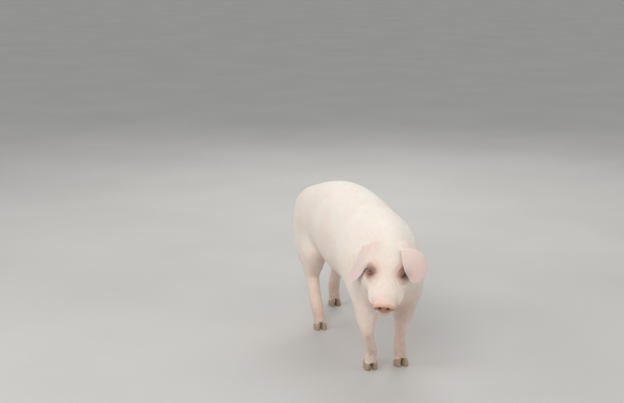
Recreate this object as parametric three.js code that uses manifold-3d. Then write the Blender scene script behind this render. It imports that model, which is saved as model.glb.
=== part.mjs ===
// A growing white pig in mid-stride with its head lowered, as a still, life-size model.
// Millimetres, +Z up. It faces -Y, its left side is +X, and its claws stand on Z = 0.
// The flesh is one smooth form, blended from chains of elliptical sections and from rounded
// masses. Each piece is that form meshed over its own region and parted by thin straight cuts.
import * as THREE from "three";
import { mergeVertices } from "three/addons/utils/BufferGeometryUtils.js";
import Module from "manifold-3d";

const wasm = await Module();
wasm.setup();

// ---- driving dimensions ----
const TRUNK_CELL = 41; // grid sizes that the pieces are meshed at
const NECK_CELL = 30;
const HEAD_CELL = 17.5;
const SNOUT_CELL = 12;
const JAW_CELL = 14;
const UPPER_LEG_CELL = 27;
const LOWER_LEG = { from: 0.22, to: 1, along: 11, around: 12, reach: 70 };
const KNEE = 2; // the joint, counted down the leg, that a leg is parted at

const GAP = 0.4; // clear space left by every cut
const ROOT_GAP = 0.6; // clear space between the flesh and the ears and tail that stand on it
const HALF_GAP = GAP / 2;
const LEG_INNER_X = 14; // the legs lie outside this, on each side
const FAR = 900; // reach of a cutting block that has no edge of its own

const HEAD_POLL = [-37, -439, 539]; // top of the head, between the ears
const HEAD_PITCH = 42; // degrees that the face slopes down
const HEAD_TURN = 23.5; // degrees that the head turns to the pig's right
const HEAD_ROLL = 3;

const EYE_RADIUS = 12.5;
const EYE_PLACE = [50, -104, -28]; // in the head's frame, left side
const SOCKET_CENTRE = [60, -110, -21];
const MOUTH_CORNER_Y = -146;
const MOUTH_CORNER_Z = -84;
const LIP_FRONT_Y = -243;
const LIP_FRONT_Z = -66;
const NECK_CUT_Y = -300;
const HEAD_BACK = 20;
const HEAD_UNDERSIDE = -150;
const SNOUT_CUT_Y = -208;
const DISC_CENTRE = [0, -241, -38];
const DISC_HALF_WIDTH = 39;
const DISC_HALF_HEIGHT = 27;
const DISC_HALF_THICKNESS = 9;
const DISC_TILT = -12; // degrees that the disc faces up from the head's axis
const NOSTRIL_OFFSET = 15;
const NOSTRIL_RADII = [6.5, 14, 8.5];

const CLAW = { width: 26, length: 50, height: 36, heel: 17, spread: 14.5, slope: 7 };
const DEWCLAW = { radius: 8.5, length: 30, spread: 13, back: 36, height: 57 };

// ---- forms: each is a function of x, y, z that is negative inside ----
const clamp = (v, low, high) => Math.min(high, Math.max(low, v));

function blend(a, b, softness) {
  const h = Math.max(softness - Math.abs(a - b), 0);
  return Math.min(a, b) - (h * h) / (4 * softness);
}

const join = (softness, ...forms) => (x, y, z) =>
  forms.reduce((d, form) => blend(d, form(x, y, z), softness), 1e6);

// The distance to an ellipsoid of half-sizes a, b, c, from a point in its own axes.
function ellipsoidDistance(x, y, z, a, b, c) {
  const k0 = Math.hypot(x / a, y / b, z / c);
  const k1 = Math.hypot(x / (a * a), y / (b * b), z / (c * c));
  return k1 < 1e-9 ? -Math.min(a, b, c) : (k0 * (k0 - 1)) / k1;
}

const degrees = (v) => THREE.MathUtils.degToRad(v);
const turn = (x, y, z, order = "ZYX") =>
  new THREE.Matrix4().makeRotationFromEuler(
    new THREE.Euler(degrees(x), degrees(y), degrees(z), order),
  );

// A form made in its own frame and set down by a rigid matrix.
function placed(matrix, form) {
  const m = matrix.clone().invert().elements;
  return (x, y, z) =>
    form(
      m[0] * x + m[4] * y + m[8] * z + m[12],
      m[1] * x + m[5] * y + m[9] * z + m[13],
      m[2] * x + m[6] * y + m[10] * z + m[14],
    );
}

function mass(centre, radii, tilt = [0, 0, 0]) {
  const frame = turn(...tilt).setPosition(...centre);
  return placed(frame, (x, y, z) => ellipsoidDistance(x, y, z, ...radii));
}

const mirrored = ([x, y, z]) => [-x, y, z];
const pair = (centre, radii, tilt = [0, 0, 0]) => [
  mass(centre, radii, tilt),
  mass(mirrored(centre), radii, [tilt[0], -tilt[1], -tilt[2]]),
];

// A limb or body: stations of [x, y, z, half-width, half-depth], joined by smooth curves.
// The half-width lies along the side direction, and the half-depth across both.
function chain(stations, side = [1, 0, 0], steps = 4) {
  const centres = new THREE.CatmullRomCurve3(
    stations.map((s) => new THREE.Vector3(s[0], s[1], s[2])),
  );
  const radii = new THREE.CatmullRomCurve3(
    stations.map((s) => new THREE.Vector3(s[3], s[4], 0)),
  );
  const count = (stations.length - 1) * steps;
  const links = [];
  for (let i = 0; i < count; i++) {
    const a = centres.getPoint(i / count);
    const b = centres.getPoint((i + 1) / count);
    const ra = radii.getPoint(i / count);
    const rb = radii.getPoint((i + 1) / count);
    const along = b.clone().sub(a);
    const length = along.length();
    along.normalize();
    const across = new THREE.Vector3(...side);
    across.addScaledVector(along, -across.dot(along)).normalize();
    const front = new THREE.Vector3().crossVectors(along, across);
    links.push({ a, along, length, across, front, ra, rb });
  }
  return (x, y, z) => {
    let best = 1e6;
    for (const l of links) {
      const dx = x - l.a.x;
      const dy = y - l.a.y;
      const dz = z - l.a.z;
      const t = dx * l.along.x + dy * l.along.y + dz * l.along.z;
      const share = clamp(t / l.length, 0, 1);
      const w = l.ra.x + (l.rb.x - l.ra.x) * share;
      const d = l.ra.y + (l.rb.y - l.ra.y) * share;
      const u = dx * l.across.x + dy * l.across.y + dz * l.across.z;
      const v = dx * l.front.x + dy * l.front.y + dz * l.front.z;
      const past = t - share * l.length;
      best = Math.min(best, ellipsoidDistance(u, v, past, w, d, Math.min(w, d)));
    }
    return best;
  };
}

// Rows of [y, top, bottom, half-width] along the back, as stations of a chain.
const profile = (rows) =>
  rows.map(([y, top, bottom, width]) => [0, y, (top + bottom) / 2, width, (top - bottom) / 2]);

// ---- trunk and neck ----
const trunkForm = join(
  60,
  chain(
    profile([
      [-300, 552, 304, 98],
      [-250, 574, 280, 118],
      [-160, 590, 268, 134],
      [-50, 604, 268, 145],
      [70, 618, 278, 148],
      [180, 630, 306, 146],
      [280, 621, 342, 138],
      [365, 580, 362, 122],
      [422, 526, 396, 86],
    ]),
  ),
  ...pair([76, 392, 424], [78, 118, 148], [12, 0, 0]), // hams
  mass([-88, 364, 298], [46, 62, 90], [-30, 0, 0]), // right thigh, swung forward
  mass([82, -212, 402], [72, 106, 146], [-14, 0, 0]), // left shoulder
  mass([-74, -222, 420], [70, 100, 118], [-14, 0, 0]), // right shoulder
  mass([101, -260, 326], [60, 62, 84], [-20, 0, 0]), // left upper arm
  mass([-72, -284, 338], [48, 58, 74], [-20, 0, 0]), // right upper arm, swung forward
  ...pair([60, 86, 490], [78, 325, 108]), // loin
  mass([0, -292, 352], [88, 62, 80]), // brisket
  mass([-8, -366, 346], [104, 78, 64]), // throat
);

const neckForm = chain([
  [2, -190, 444, 121, 136],
  [1, -280, 434, 120, 134],
  [-12, -360, 426, 111, 121],
  [-32, -415, 422, 98, 108],
]);

// ---- head, in its own frame: origin at the poll, the nose towards -Y ----
const headFrame = turn(HEAD_PITCH, HEAD_ROLL, -HEAD_TURN, "ZYX").setPosition(...HEAD_POLL);

const skullForm = join(
  22,
  chain(
    profile([
      [14, -10, -148, 70],
      [-42, 2, -142, 67],
      [-92, -4, -124, 55],
      [-138, -14, -109, 53],
      [-184, -17, -94, 48],
      [-219, -12, -79, 41],
    ]),
  ),
  ...pair([36, -70, -17], [20, 30, 15]), // brows
  ...pair([48, -96, -74], [29, 50, 34], [8, 0, 8]), // cheekbones
  ...pair([36, -166, -76], [26, 46, 24], [6, 0, 8]), // lips
  ...pair([57, -54, -106], [48, 72, 54]), // jowls
  ...pair([56, -14, -18], [24, 28, 22]), // ear roots
);

const jawForm = chain(
  profile([
    [-56, -92, -158, 50],
    [-120, -84, -132, 44],
    [-176, -74, -114, 36],
    [-231, -68, -104, 30],
  ]),
);

const socketForm = join(1, ...pair(SOCKET_CENTRE, [13, 17, 13]));

const headForm = placed(
  headFrame,
  (x, y, z) =>
    -blend(-blend(skullForm(x, y, z), jawForm(x, y, z), 18), socketForm(x, y, z), 8),
);

// ---- legs: joint places for each, with the shared sizes of fore and hind legs ----
const SWUNG_SIZE = 0.94; // the swinging foreleg bears no weight, and is set a little finer
const FORE_SIZES = [
  [53, 66],
  [50, 56],
  [28, 31],
  [21.5, 23],
  [24, 25.5],
  [22, 22.5],
  [24, 27],
];
const HIND_SIZES = [
  [58, 80],
  [44, 58],
  [30, 40],
  [25, 28],
  [26, 28],
  [24, 25],
  [26, 28],
];

const LEGS = {
  foreleg_left: {
    sizes: FORE_SIZES,
    joints: [
      [107, -212, 300],
      [106, -225, 232],
      [92, -234, 160],
      [87, -236, 108],
      [86, -236, 68],
      [86, -244, 44],
      [86, -254, 14],
    ],
    foot: { place: [86, -256, 0], pitch: 0 },
    shoulderCut: { point: [60, -215, 300], lean: 24, fore: 130, aft: 110 },
    jointCut: { point: [92, -234, 160], pitch: 6 },
  },
  foreleg_right: {
    sizes: FORE_SIZES.map(([w, d]) => [w * SWUNG_SIZE, d * SWUNG_SIZE]),
    joints: [
      [-72, -288, 312],
      [-74, -306, 246],
      [-78, -322, 180],
      [-60, -300, 128],
      [-42, -275, 80],
      [-41, -271, 56],
      [-41, -262, 26],
    ],
    foot: { place: [-41, -258, 9], pitch: 30 },
    shoulderCut: { point: [-60, -280, 300], lean: 24, fore: 120, aft: 100 },
    jointCut: { point: [-78, -322, 180], pitch: -12 },
  },
  hindleg_left: {
    sizes: HIND_SIZES,
    joints: [
      [96, 330, 345],
      [92, 410, 284],
      [84, 496, 222],
      [80, 524, 154],
      [78, 548, 84],
      [78, 544, 56],
      [78, 536, 15],
    ],
    foot: { place: [78, 534, 0], pitch: 0 },
    shoulderCut: { point: [62, 380, 322], lean: 22, fore: 150, aft: 260 },
    jointCut: { point: [84, 496, 222], pitch: 8 },
  },
  hindleg_right: {
    sizes: HIND_SIZES,
    joints: [
      [-96, 276, 345],
      [-94, 292, 286],
      [-92, 322, 218],
      [-90, 295, 150],
      [-86, 268, 82],
      [-82, 254, 54],
      [-82, 242, 15],
    ],
    foot: { place: [-82, 240, 0], pitch: 0 },
    shoulderCut: { point: [-62, 320, 318], lean: 22, fore: 160, aft: 130 },
    jointCut: { point: [-92, 322, 218], pitch: 14 },
  },
};

const legForms = Object.values(LEGS).map((leg) =>
  chain(
    leg.joints.map((p, i) => [...p, ...leg.sizes[i]]),
    [1, 0, 0],
    3,
  ),
);

const legsForm = join(10, ...legForms);
const torsoForm = join(50, trunkForm, neckForm);
const bodyForm = (x, y, z) =>
  blend(blend(torsoForm(x, y, z), legsForm(x, y, z), 28), headForm(x, y, z), 30);

// ---- meshing ----
const SLOPE_STEP = 0.5;

function slopeAt(form, p) {
  const e = SLOPE_STEP;
  return new THREE.Vector3(
    form(p.x + e, p.y, p.z) - form(p.x - e, p.y, p.z),
    form(p.x, p.y + e, p.z) - form(p.x, p.y - e, p.z),
    form(p.x, p.y, p.z + e) - form(p.x, p.y, p.z - e),
  ).divideScalar(2 * e);
}

function settle(form, p, reach) {
  for (let pass = 0; pass < 4; pass++) {
    const slope = slopeAt(form, p);
    const step = clamp(form(p.x, p.y, p.z) / Math.max(slope.lengthSq(), 0.05), -reach, reach);
    p.addScaledVector(slope, -step);
  }
}

// Surface nets: one corner in each cell that the surface passes through, moved onto the
// surface, and one quad round each grid edge that it crosses. The box closes what it cuts.
function surface(form, low, high, cell) {
  const n = low.map((v, k) => Math.ceil((high[k] - v) / cell) + 3);
  const at = (i, j, k) => i + n[0] * (j + n[1] * k);
  const place = (k, i) => low[k] + (i - 1) * cell;
  const values = new Float32Array(n[0] * n[1] * n[2]).fill(cell);
  for (let k = 1; k < n[2] - 1; k++)
    for (let j = 1; j < n[1] - 1; j++)
      for (let i = 1; i < n[0] - 1; i++)
        values[at(i, j, k)] = form(place(0, i), place(1, j), place(2, k));

  const corners = [];
  const cornerOf = new Map();
  const onEdge = (i, k) => i === 0 || i >= n[k] - 2;
  for (let k = 0; k < n[2] - 1; k++)
    for (let j = 0; j < n[1] - 1; j++)
      for (let i = 0; i < n[0] - 1; i++) {
        const middle = new THREE.Vector3();
        let crossings = 0;
        for (let c = 0; c < 8; c++)
          for (let axis = 0; axis < 3; axis++) {
            if (c & (1 << axis)) continue;
            const from = [i + (c & 1), j + ((c >> 1) & 1), k + ((c >> 2) & 1)];
            const to = from.map((v, m) => v + (m === axis ? 1 : 0));
            const a = values[at(...from)];
            const b = values[at(...to)];
            if (a < 0 === b < 0) continue;
            const share = a / (a - b);
            middle.add(
              new THREE.Vector3(
                ...from.map((v, m) => place(m, v) + (m === axis ? share * cell : 0)),
              ),
            );
            crossings++;
          }
        if (!crossings) continue;
        middle.divideScalar(crossings);
        if (!onEdge(i, 0) && !onEdge(j, 1) && !onEdge(k, 2)) settle(form, middle, cell / 3);
        cornerOf.set(at(i, j, k), corners.length);
        corners.push(middle);
      }

  const triangles = [];
  const quad = (a, b, c, d) => {
    const [p, q, r, s] = [a, b, c, d].map((v) => corners[v]);
    if (p.distanceTo(r) < q.distanceTo(s)) triangles.push(a, b, c, a, c, d);
    else triangles.push(b, c, d, b, d, a);
  };
  const stride = [1, n[0], n[0] * n[1]];
  for (let k = 0; k < n[2] - 1; k++)
    for (let j = 0; j < n[1] - 1; j++)
      for (let i = 0; i < n[0] - 1; i++)
        for (let axis = 0; axis < 3; axis++) {
          const [u, v] = [(axis + 1) % 3, (axis + 2) % 3];
          const index = at(i, j, k);
          const inside = values[index] < 0;
          if (inside === values[index + stride[axis]] < 0) continue;
          if ([i, j, k][u] === 0 || [i, j, k][v] === 0) continue;
          const ring = [
            index,
            index - stride[u],
            index - stride[u] - stride[v],
            index - stride[v],
          ].map((c) => cornerOf.get(c));
          if (inside) quad(...ring);
          else quad(...ring.reverse());
        }
  return new THREE.BufferGeometry()
    .setAttribute(
      "position",
      new THREE.Float32BufferAttribute(corners.flatMap((c) => c.toArray()), 3),
    )
    .setIndex(triangles);
}

// A closed skin over rings of the same number of points, with a fan over each end.
function loft(rings) {
  const round = rings[0].length;
  const middle = (ring) =>
    ring.reduce((sum, p) => sum.add(p), new THREE.Vector3()).divideScalar(round);
  const points = [...rings.flat(), middle(rings[0]), middle(rings.at(-1))];
  const triangles = [];
  const startFan = rings.length * round;
  for (let j = 0; j < round; j++) {
    const next = (j + 1) % round;
    for (let i = 0; i < rings.length - 1; i++) {
      const [a, b] = [i * round + j, i * round + next];
      triangles.push(a, b, a + round, b, b + round, a + round);
    }
    const last = (rings.length - 1) * round;
    triangles.push(startFan, next, j, startFan + 1, last + j, last + next);
  }
  return new THREE.BufferGeometry()
    .setAttribute(
      "position",
      new THREE.Float32BufferAttribute(points.flatMap((p) => p.toArray()), 3),
    )
    .setIndex(triangles);
}

// A form's surface round a curve that runs inside it, found by rays out from the curve.
function sleeve(form, curve, { from, to, along, around, reach }) {
  const rings = [];
  for (let i = 0; i <= along; i++) {
    const t = THREE.MathUtils.lerp(from, to, i / along);
    const centre = curve.getPoint(t);
    const forward = curve.getTangent(t);
    const across = new THREE.Vector3(1, 0, 0);
    across.addScaledVector(forward, -across.dot(forward)).normalize();
    const front = new THREE.Vector3().crossVectors(forward, across);
    rings.push(
      Array.from({ length: around }, (_, j) => {
        const angle = (2 * Math.PI * j) / around;
        const ray = across.clone().multiplyScalar(Math.cos(angle));
        ray.addScaledVector(front, Math.sin(angle));
        let [near, far] = [0, reach];
        for (let pass = 0; pass < 14; pass++) {
          const middle = (near + far) / 2;
          const p = centre.clone().addScaledVector(ray, middle);
          if (form(p.x, p.y, p.z) < 0) near = middle;
          else far = middle;
        }
        return centre.clone().addScaledVector(ray, near);
      }),
    );
  }
  return loft(rings);
}

// ---- solids ----
function solid(geometry) {
  const bare = geometry.clone();
  bare.deleteAttribute("normal");
  bare.deleteAttribute("uv");
  const merged = mergeVertices(bare, 1e-4);
  const made = new wasm.Manifold(
    new wasm.Mesh({
      numProp: 3,
      vertProperties: new Float32Array(merged.attributes.position.array),
      triVerts: new Uint32Array(merged.index.array),
    }),
  );
  if (made.volume() > 0) return made;
  const index = merged.index.array;
  for (let i = 0; i < index.length; i += 3) [index[i], index[i + 1]] = [index[i + 1], index[i]];
  return new wasm.Manifold(
    new wasm.Mesh({
      numProp: 3,
      vertProperties: new Float32Array(merged.attributes.position.array),
      triVerts: new Uint32Array(index),
    }),
  );
}

// The largest body of a solid, as three.js geometry.
function geometryOf(made) {
  const body = made.decompose().sort((a, b) => b.volume() - a.volume())[0];
  const mesh = body.getMesh();
  const points = [];
  for (let i = 0; i < mesh.numVert; i++)
    points.push(...mesh.vertProperties.subarray(i * mesh.numProp, i * mesh.numProp + 3));
  const geometry = new THREE.BufferGeometry()
    .setAttribute("position", new THREE.Float32BufferAttribute(points, 3))
    .setIndex([...mesh.triVerts]);
  geometry.computeVertexNormals();
  return geometry;
}

// A block in a frame, from its low to its high corner, grown by half a gap or shrunk by it.
function block(frame, low, high, grow) {
  const size = high.map((v, k) => v - low[k] + 2 * grow);
  const box = new THREE.BoxGeometry(...size);
  box.translate(...high.map((v, k) => (v + low[k]) / 2));
  return solid(box.applyMatrix4(frame));
}

const meshed = (form, low, high, cell) => solid(surface(form, low, high, cell));

// Cuts a piece back from the surface that it stands on, by moving that surface each way.
function clearOf(flesh, piece) {
  for (const axis of [0, 1, 2])
    for (const way of [-ROOT_GAP, ROOT_GAP]) {
      const shift = [0, 0, 0];
      shift[axis] = way;
      piece = piece.subtract(solid(flesh.clone().translate(...shift)));
    }
  return piece;
}

// ---- regions, as blocks that grow for a neighbour and shrink for the piece itself ----
const neckRegion = (grow) =>
  block(turn(-8, 0, 0).setPosition(0, NECK_CUT_Y, 430), [-FAR, -FAR, -FAR], [FAR, 0, FAR], grow);
const headRegion = (grow) =>
  block(headFrame, [-FAR, -FAR, HEAD_UNDERSIDE], [FAR, HEAD_BACK, FAR], grow).intersect(
    neckRegion(grow),
  );
const snoutRegion = (grow) => block(headFrame, [-FAR, -FAR, -FAR], [FAR, SNOUT_CUT_Y, FAR], grow);

const mouthPitch = THREE.MathUtils.radToDeg(
  Math.atan2(LIP_FRONT_Z - MOUTH_CORNER_Z, MOUTH_CORNER_Y - LIP_FRONT_Y),
);
const mouthFrame = headFrame
  .clone()
  .multiply(turn(-mouthPitch, 0, 0).setPosition(0, MOUTH_CORNER_Y, MOUTH_CORNER_Z));
const jawRegion = (grow) => block(mouthFrame, [-FAR, -FAR, -FAR], [FAR, 0, 0], grow);

// Everything under a leg's upper cut, which leans outwards and up, within an upright block.
function legRegion(leg, grow) {
  const { point, lean, fore, aft } = leg.shoulderCut;
  const side = Math.sign(point[0]);
  const under = block(
    turn(0, -side * lean, 0).setPosition(...point),
    [-FAR, -FAR, -FAR],
    [FAR, FAR, 0],
    grow,
  );
  const [inner, outer] = [LEG_INNER_X * side, FAR * side];
  const upright = block(
    new THREE.Matrix4(),
    [Math.min(inner, outer), point[1] - fore, -FAR],
    [Math.max(inner, outer), point[1] + aft, FAR],
    grow,
  );
  return under.intersect(upright);
}

const lowerRegion = (leg, grow) =>
  block(
    turn(leg.jointCut.pitch, 0, 0).setPosition(...leg.jointCut.point),
    [-80, -200, -FAR],
    [80, 200, 0],
    grow,
  );

const footFrame = ({ foot }) => turn(foot.pitch, 0, 0).setPosition(...foot.place);
const coronetPitch = THREE.MathUtils.radToDeg(
  Math.atan2(CLAW.height - CLAW.heel, CLAW.length),
);
const coronetRegion = (leg, grow) =>
  block(
    footFrame(leg).multiply(
      turn(-coronetPitch, 0, 0).setPosition(0, -CLAW.length / 2, CLAW.height),
    ),
    [-80, -90, -90],
    [80, 90, 0],
    grow,
  );

// ---- small pieces ----
// The snout's disc: a flat oval pad with a rounded rim, facing down from the head's axis.
function discGeometry() {
  const around = 24;
  const levels = [
    [1, 0.84],
    [0.4, 1],
    [-0.5, 1],
    [-1, 0.92],
  ];
  const rings = levels.map(([depth, size]) =>
    Array.from({ length: around }, (_, j) => {
      const angle = (2 * Math.PI * j) / around;
      return new THREE.Vector3(
        Math.cos(angle) * size * DISC_HALF_WIDTH,
        depth * DISC_HALF_THICKNESS,
        Math.sin(angle) * size * DISC_HALF_HEIGHT,
      );
    }),
  );
  const frame = headFrame.clone().multiply(turn(-DISC_TILT, 0, 0).setPosition(...DISC_CENTRE));
  return loft(rings).applyMatrix4(frame);
}

// One claw: a wedge whose sole is flat and whose top slopes down to the heel.
function clawGeometry(leg, side) {
  const around = 12;
  const levels = [
    [0, 1],
    [0.3, 0.99],
    [1, 0.84],
  ];
  const rings = levels.map(([level, size]) =>
    Array.from({ length: around }, (_, j) => {
      const angle = (2 * Math.PI * j) / around;
      const along = Math.cos(angle);
      const pinch = along > 0 ? 1 - 0.35 * along * along : 1;
      const x = (Math.sin(angle) * pinch * size * CLAW.width) / 2;
      const y = (-along * size * CLAW.length) / 2 + level * CLAW.slope;
      const top = THREE.MathUtils.mapLinear(
        y,
        -CLAW.length / 2,
        CLAW.length / 2,
        CLAW.height,
        CLAW.heel,
      );
      return new THREE.Vector3(x + side * CLAW.spread, y, level * (top - GAP));
    }),
  );
  return loft(rings).applyMatrix4(footFrame(leg));
}

function dewclawGeometry(leg, side, grow = 0) {
  const cone = new THREE.ConeGeometry(DEWCLAW.radius + grow, DEWCLAW.length + 2 * grow, 9, 1);
  const frame = footFrame(leg).multiply(
    turn(-62, 0, -side * 14).setPosition(side * DEWCLAW.spread, DEWCLAW.back, DEWCLAW.height),
  );
  return cone.applyMatrix4(frame);
}

// An ear: a cupped leaf from its root to its tip, in the head's frame.
const EAR_WIDTHS = [24, 39, 46, 48, 46, 37, 15];
const EAR_THICKNESS = [10, 8, 6.5, 6, 5.5, 5, 4];
const EARS = {
  ear_left: {
    spine: [
      [54, -6, -20],
      [78, -28, 1],
      [94, -70, 1],
      [100, -108, -13],
      [98, -141, -31],
    ],
    across: [
      [0.9, 0.1, -0.25],
      [0.93, 0.05, -0.35],
    ],
  },
  ear_right: {
    spine: [
      [-54, -12, -22],
      [-78, -30, -18],
      [-98, -54, -44],
      [-118, -80, -80],
      [-140, -102, -116],
    ],
    across: [
      [0.25, -0.93, 0.25],
      [0.25, -0.93, 0.25],
    ],
  },
};
const EAR_CUP = 0.0032;

function earGeometry({ spine, across }) {
  const curve = new THREE.CatmullRomCurve3(spine.map((p) => new THREE.Vector3(...p)));
  const spread = (list, t) => {
    const at = t * (list.length - 1);
    const i = Math.min(Math.floor(at), list.length - 2);
    return THREE.MathUtils.lerp(list[i], list[i + 1], at - i);
  };
  const around = 12;
  const along = 10;
  const rings = [];
  for (let i = 0; i <= along; i++) {
    const t = i / along;
    const centre = curve.getPoint(t);
    const forward = curve.getTangent(t);
    const side = new THREE.Vector3(...across[0]).lerp(new THREE.Vector3(...across[1]), t);
    side.addScaledVector(forward, -side.dot(forward)).normalize();
    const up = new THREE.Vector3().crossVectors(forward, side);
    if (up.z < 0) up.negate();
    const width = spread(EAR_WIDTHS, t);
    const thickness = spread(EAR_THICKNESS, t);
    rings.push(
      Array.from({ length: around }, (_, j) => {
        const angle = (2 * Math.PI * j) / around;
        const offset = Math.cos(angle) * width;
        const lift = (Math.sin(angle) * thickness) / 2 - EAR_CUP * offset * offset;
        return centre.clone().addScaledVector(side, offset).addScaledVector(up, lift);
      }),
    );
  }
  return loft(rings).applyMatrix4(headFrame);
}

// The tail: out of the rump, then one open curl, thinning to its tip.
const TAIL = {
  root: [0, 456, 512],
  middle: [550, 484], // y and z of the curl's axis
  curl: 25,
  drift: 34, // sideways travel of the curl
  turns: 1.25,
  thick: 14,
  thin: 4.5,
};

function tailCurve() {
  const [x, y, z] = TAIL.root;
  const [middleY, middleZ] = TAIL.middle;
  const points = [
    [x, y, z],
    [x, y + 46, z + 3],
  ];
  const steps = 12;
  for (let i = 0; i <= steps; i++) {
    const share = i / steps;
    const angle = -0.5 + share * TAIL.turns * 2 * Math.PI;
    points.push([
      x + share * TAIL.drift,
      middleY + Math.sin(angle) * TAIL.curl,
      middleZ + Math.cos(angle) * TAIL.curl,
    ]);
  }
  return new THREE.CatmullRomCurve3(points.map((p) => new THREE.Vector3(...p)));
}

function tailGeometry(from, to) {
  const curve = tailCurve();
  const around = 8;
  const along = 12;
  const frames = curve.computeFrenetFrames(along * 2, false);
  const rings = [];
  for (let i = 0; i <= along; i++) {
    const t = THREE.MathUtils.lerp(from, to, i / along);
    const at = Math.round(t * along * 2);
    const centre = curve.getPoint(t);
    const radius = THREE.MathUtils.lerp(TAIL.thick, TAIL.thin, t);
    rings.push(
      Array.from({ length: around }, (_, j) => {
        const angle = (2 * Math.PI * j) / around;
        return centre
          .clone()
          .addScaledVector(frames.normals[at], Math.cos(angle) * radius)
          .addScaledVector(frames.binormals[at], Math.sin(angle) * radius);
      }),
    );
  }
  return loft(rings);
}

// ---- pieces ----
const SKIN = { color: 0xeed9cc, roughness: 0.6, metalness: 0 };
const PINK = { color: 0xe3a996, roughness: 0.55, metalness: 0 };
const HORN = { color: 0xa88f78, roughness: 0.5, metalness: 0 };
const EYE = { color: 0x2a1a14, roughness: 0.1, metalness: 0 };

const pig = new THREE.Group();

function add(name, made, finish = SKIN) {
  const mesh = new THREE.Mesh(geometryOf(made), new THREE.MeshStandardMaterial(finish));
  mesh.name = name;
  pig.add(mesh);
}

// The trunk is cut back from the neck and from every leg's region.
const legList = Object.entries(LEGS);
const trunkSurface = surface(bodyForm, [-200, -380, 200], [200, 560, 680], TRUNK_CELL);
let trunk = solid(trunkSurface).subtract(neckRegion(HALF_GAP));
for (const [, leg] of legList) trunk = trunk.subtract(legRegion(leg, HALF_GAP));
add("trunk", trunk);

add(
  "neck",
  meshed(bodyForm, [-180, -600, 220], [180, -250, 640], NECK_CELL)
    .intersect(neckRegion(-HALF_GAP))
    .subtract(headRegion(HALF_GAP))
    .subtract(legRegion(LEGS.foreleg_left, HALF_GAP))
    .subtract(legRegion(LEGS.foreleg_right, HALF_GAP)),
);

const headBox = { low: [-200, -760, 200], high: [140, -270, 620] };
const eyeBall = (side, radius) =>
  solid(
    new THREE.SphereGeometry(radius, 12, 8)
      .translate(side * EYE_PLACE[0], EYE_PLACE[1], EYE_PLACE[2])
      .applyMatrix4(headFrame),
  );
const nostril = (side) =>
  solid(
    new THREE.SphereGeometry(1, 8, 6)
      .scale(...NOSTRIL_RADII)
      .translate(side * NOSTRIL_OFFSET, DISC_CENTRE[1] - 6, DISC_CENTRE[2] + 3)
      .applyMatrix4(headFrame),
  );

const sockets = eyeBall(1, EYE_RADIUS + GAP).add(eyeBall(-1, EYE_RADIUS + GAP));
add(
  "head",
  meshed(bodyForm, headBox.low, headBox.high, HEAD_CELL)
    .intersect(headRegion(-HALF_GAP))
    .subtract(snoutRegion(HALF_GAP))
    .subtract(jawRegion(HALF_GAP))
    .subtract(sockets),
);
add(
  "snout",
  meshed(bodyForm, headBox.low, headBox.high, SNOUT_CELL)
    .add(solid(discGeometry()))
    .intersect(snoutRegion(-HALF_GAP))
    .subtract(jawRegion(HALF_GAP))
    .subtract(nostril(1))
    .subtract(nostril(-1)),
  PINK,
);
add(
  "jaw",
  meshed(bodyForm, headBox.low, headBox.high, JAW_CELL).intersect(
    headRegion(-HALF_GAP).intersect(jawRegion(-HALF_GAP)),
  ),
);
for (const [name, side] of [
  ["eye_left", 1],
  ["eye_right", -1],
])
  add(name, eyeBall(side, EYE_RADIUS), EYE);

// Ears stand on the head's surface with the gap between them.
const headSurface = surface(bodyForm, headBox.low, headBox.high, HEAD_CELL);
for (const [name, ear] of Object.entries(EARS))
  add(name, clearOf(headSurface, solid(earGeometry(ear))), PINK);

// The tail is two lengths, out of the trunk's surface.
add("tail_base", clearOf(trunkSurface, solid(tailGeometry(0, 0.5))), PINK);
add("tail_tip", solid(tailGeometry(0.505, 1)), PINK);

const underFloor = block(new THREE.Matrix4(), [-FAR, -FAR, -FAR], [FAR, FAR, 0], 0);
for (const [name, leg] of legList) {
  const region = legRegion(leg, -HALF_GAP);
  const [kneeX, kneeY, kneeZ] = leg.joints[KNEE];
  const [topX, topY, topZ] = leg.joints[0];
  add(
    `${name}_upper`,
    meshed(
      bodyForm,
      [Math.min(topX, kneeX) - 90, Math.min(topY, kneeY) - 130, kneeZ - 60],
      [Math.max(topX, kneeX) + 90, Math.max(topY, kneeY) + 130, topZ + 45],
      UPPER_LEG_CELL,
    )
      .intersect(region)
      .subtract(lowerRegion(leg, HALF_GAP)),
  );
  const curve = new THREE.CatmullRomCurve3(leg.joints.map((p) => new THREE.Vector3(...p)));
  add(
    `${name}_lower`,
    solid(sleeve(bodyForm, curve, LOWER_LEG))
      .intersect(lowerRegion(leg, -HALF_GAP))
      .subtract(coronetRegion(leg, HALF_GAP))
      .subtract(solid(dewclawGeometry(leg, 1, GAP)))
      .subtract(solid(dewclawGeometry(leg, -1, GAP))),
  );
  for (const side of [1, -1]) {
    const label = Math.sign(leg.foot.place[0]) === side ? "outer" : "inner";
    add(`${name}_claw_${label}`, solid(clawGeometry(leg, side)).subtract(underFloor), HORN);
    add(`${name}_dewclaw_${label}`, solid(dewclawGeometry(leg, side)), HORN);
  }
}

// The origin is on the floor, in the middle of the box round the pig.
const middle = new THREE.Box3().setFromObject(pig).getCenter(new THREE.Vector3());
pig.position.set(-middle.x, -middle.y, 0);

export default pig;
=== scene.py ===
"""A growing white pig in mid-stride, life size: one skin with its folds, eyes, claws, bristles and lashes."""

import math

import bmesh
import bpy
import numpy as np
from bpy.props import FloatProperty, FloatVectorProperty, IntProperty, PointerProperty
from mathutils import Matrix, Vector, noise
from mathutils.bvhtree import BVHTree


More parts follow.
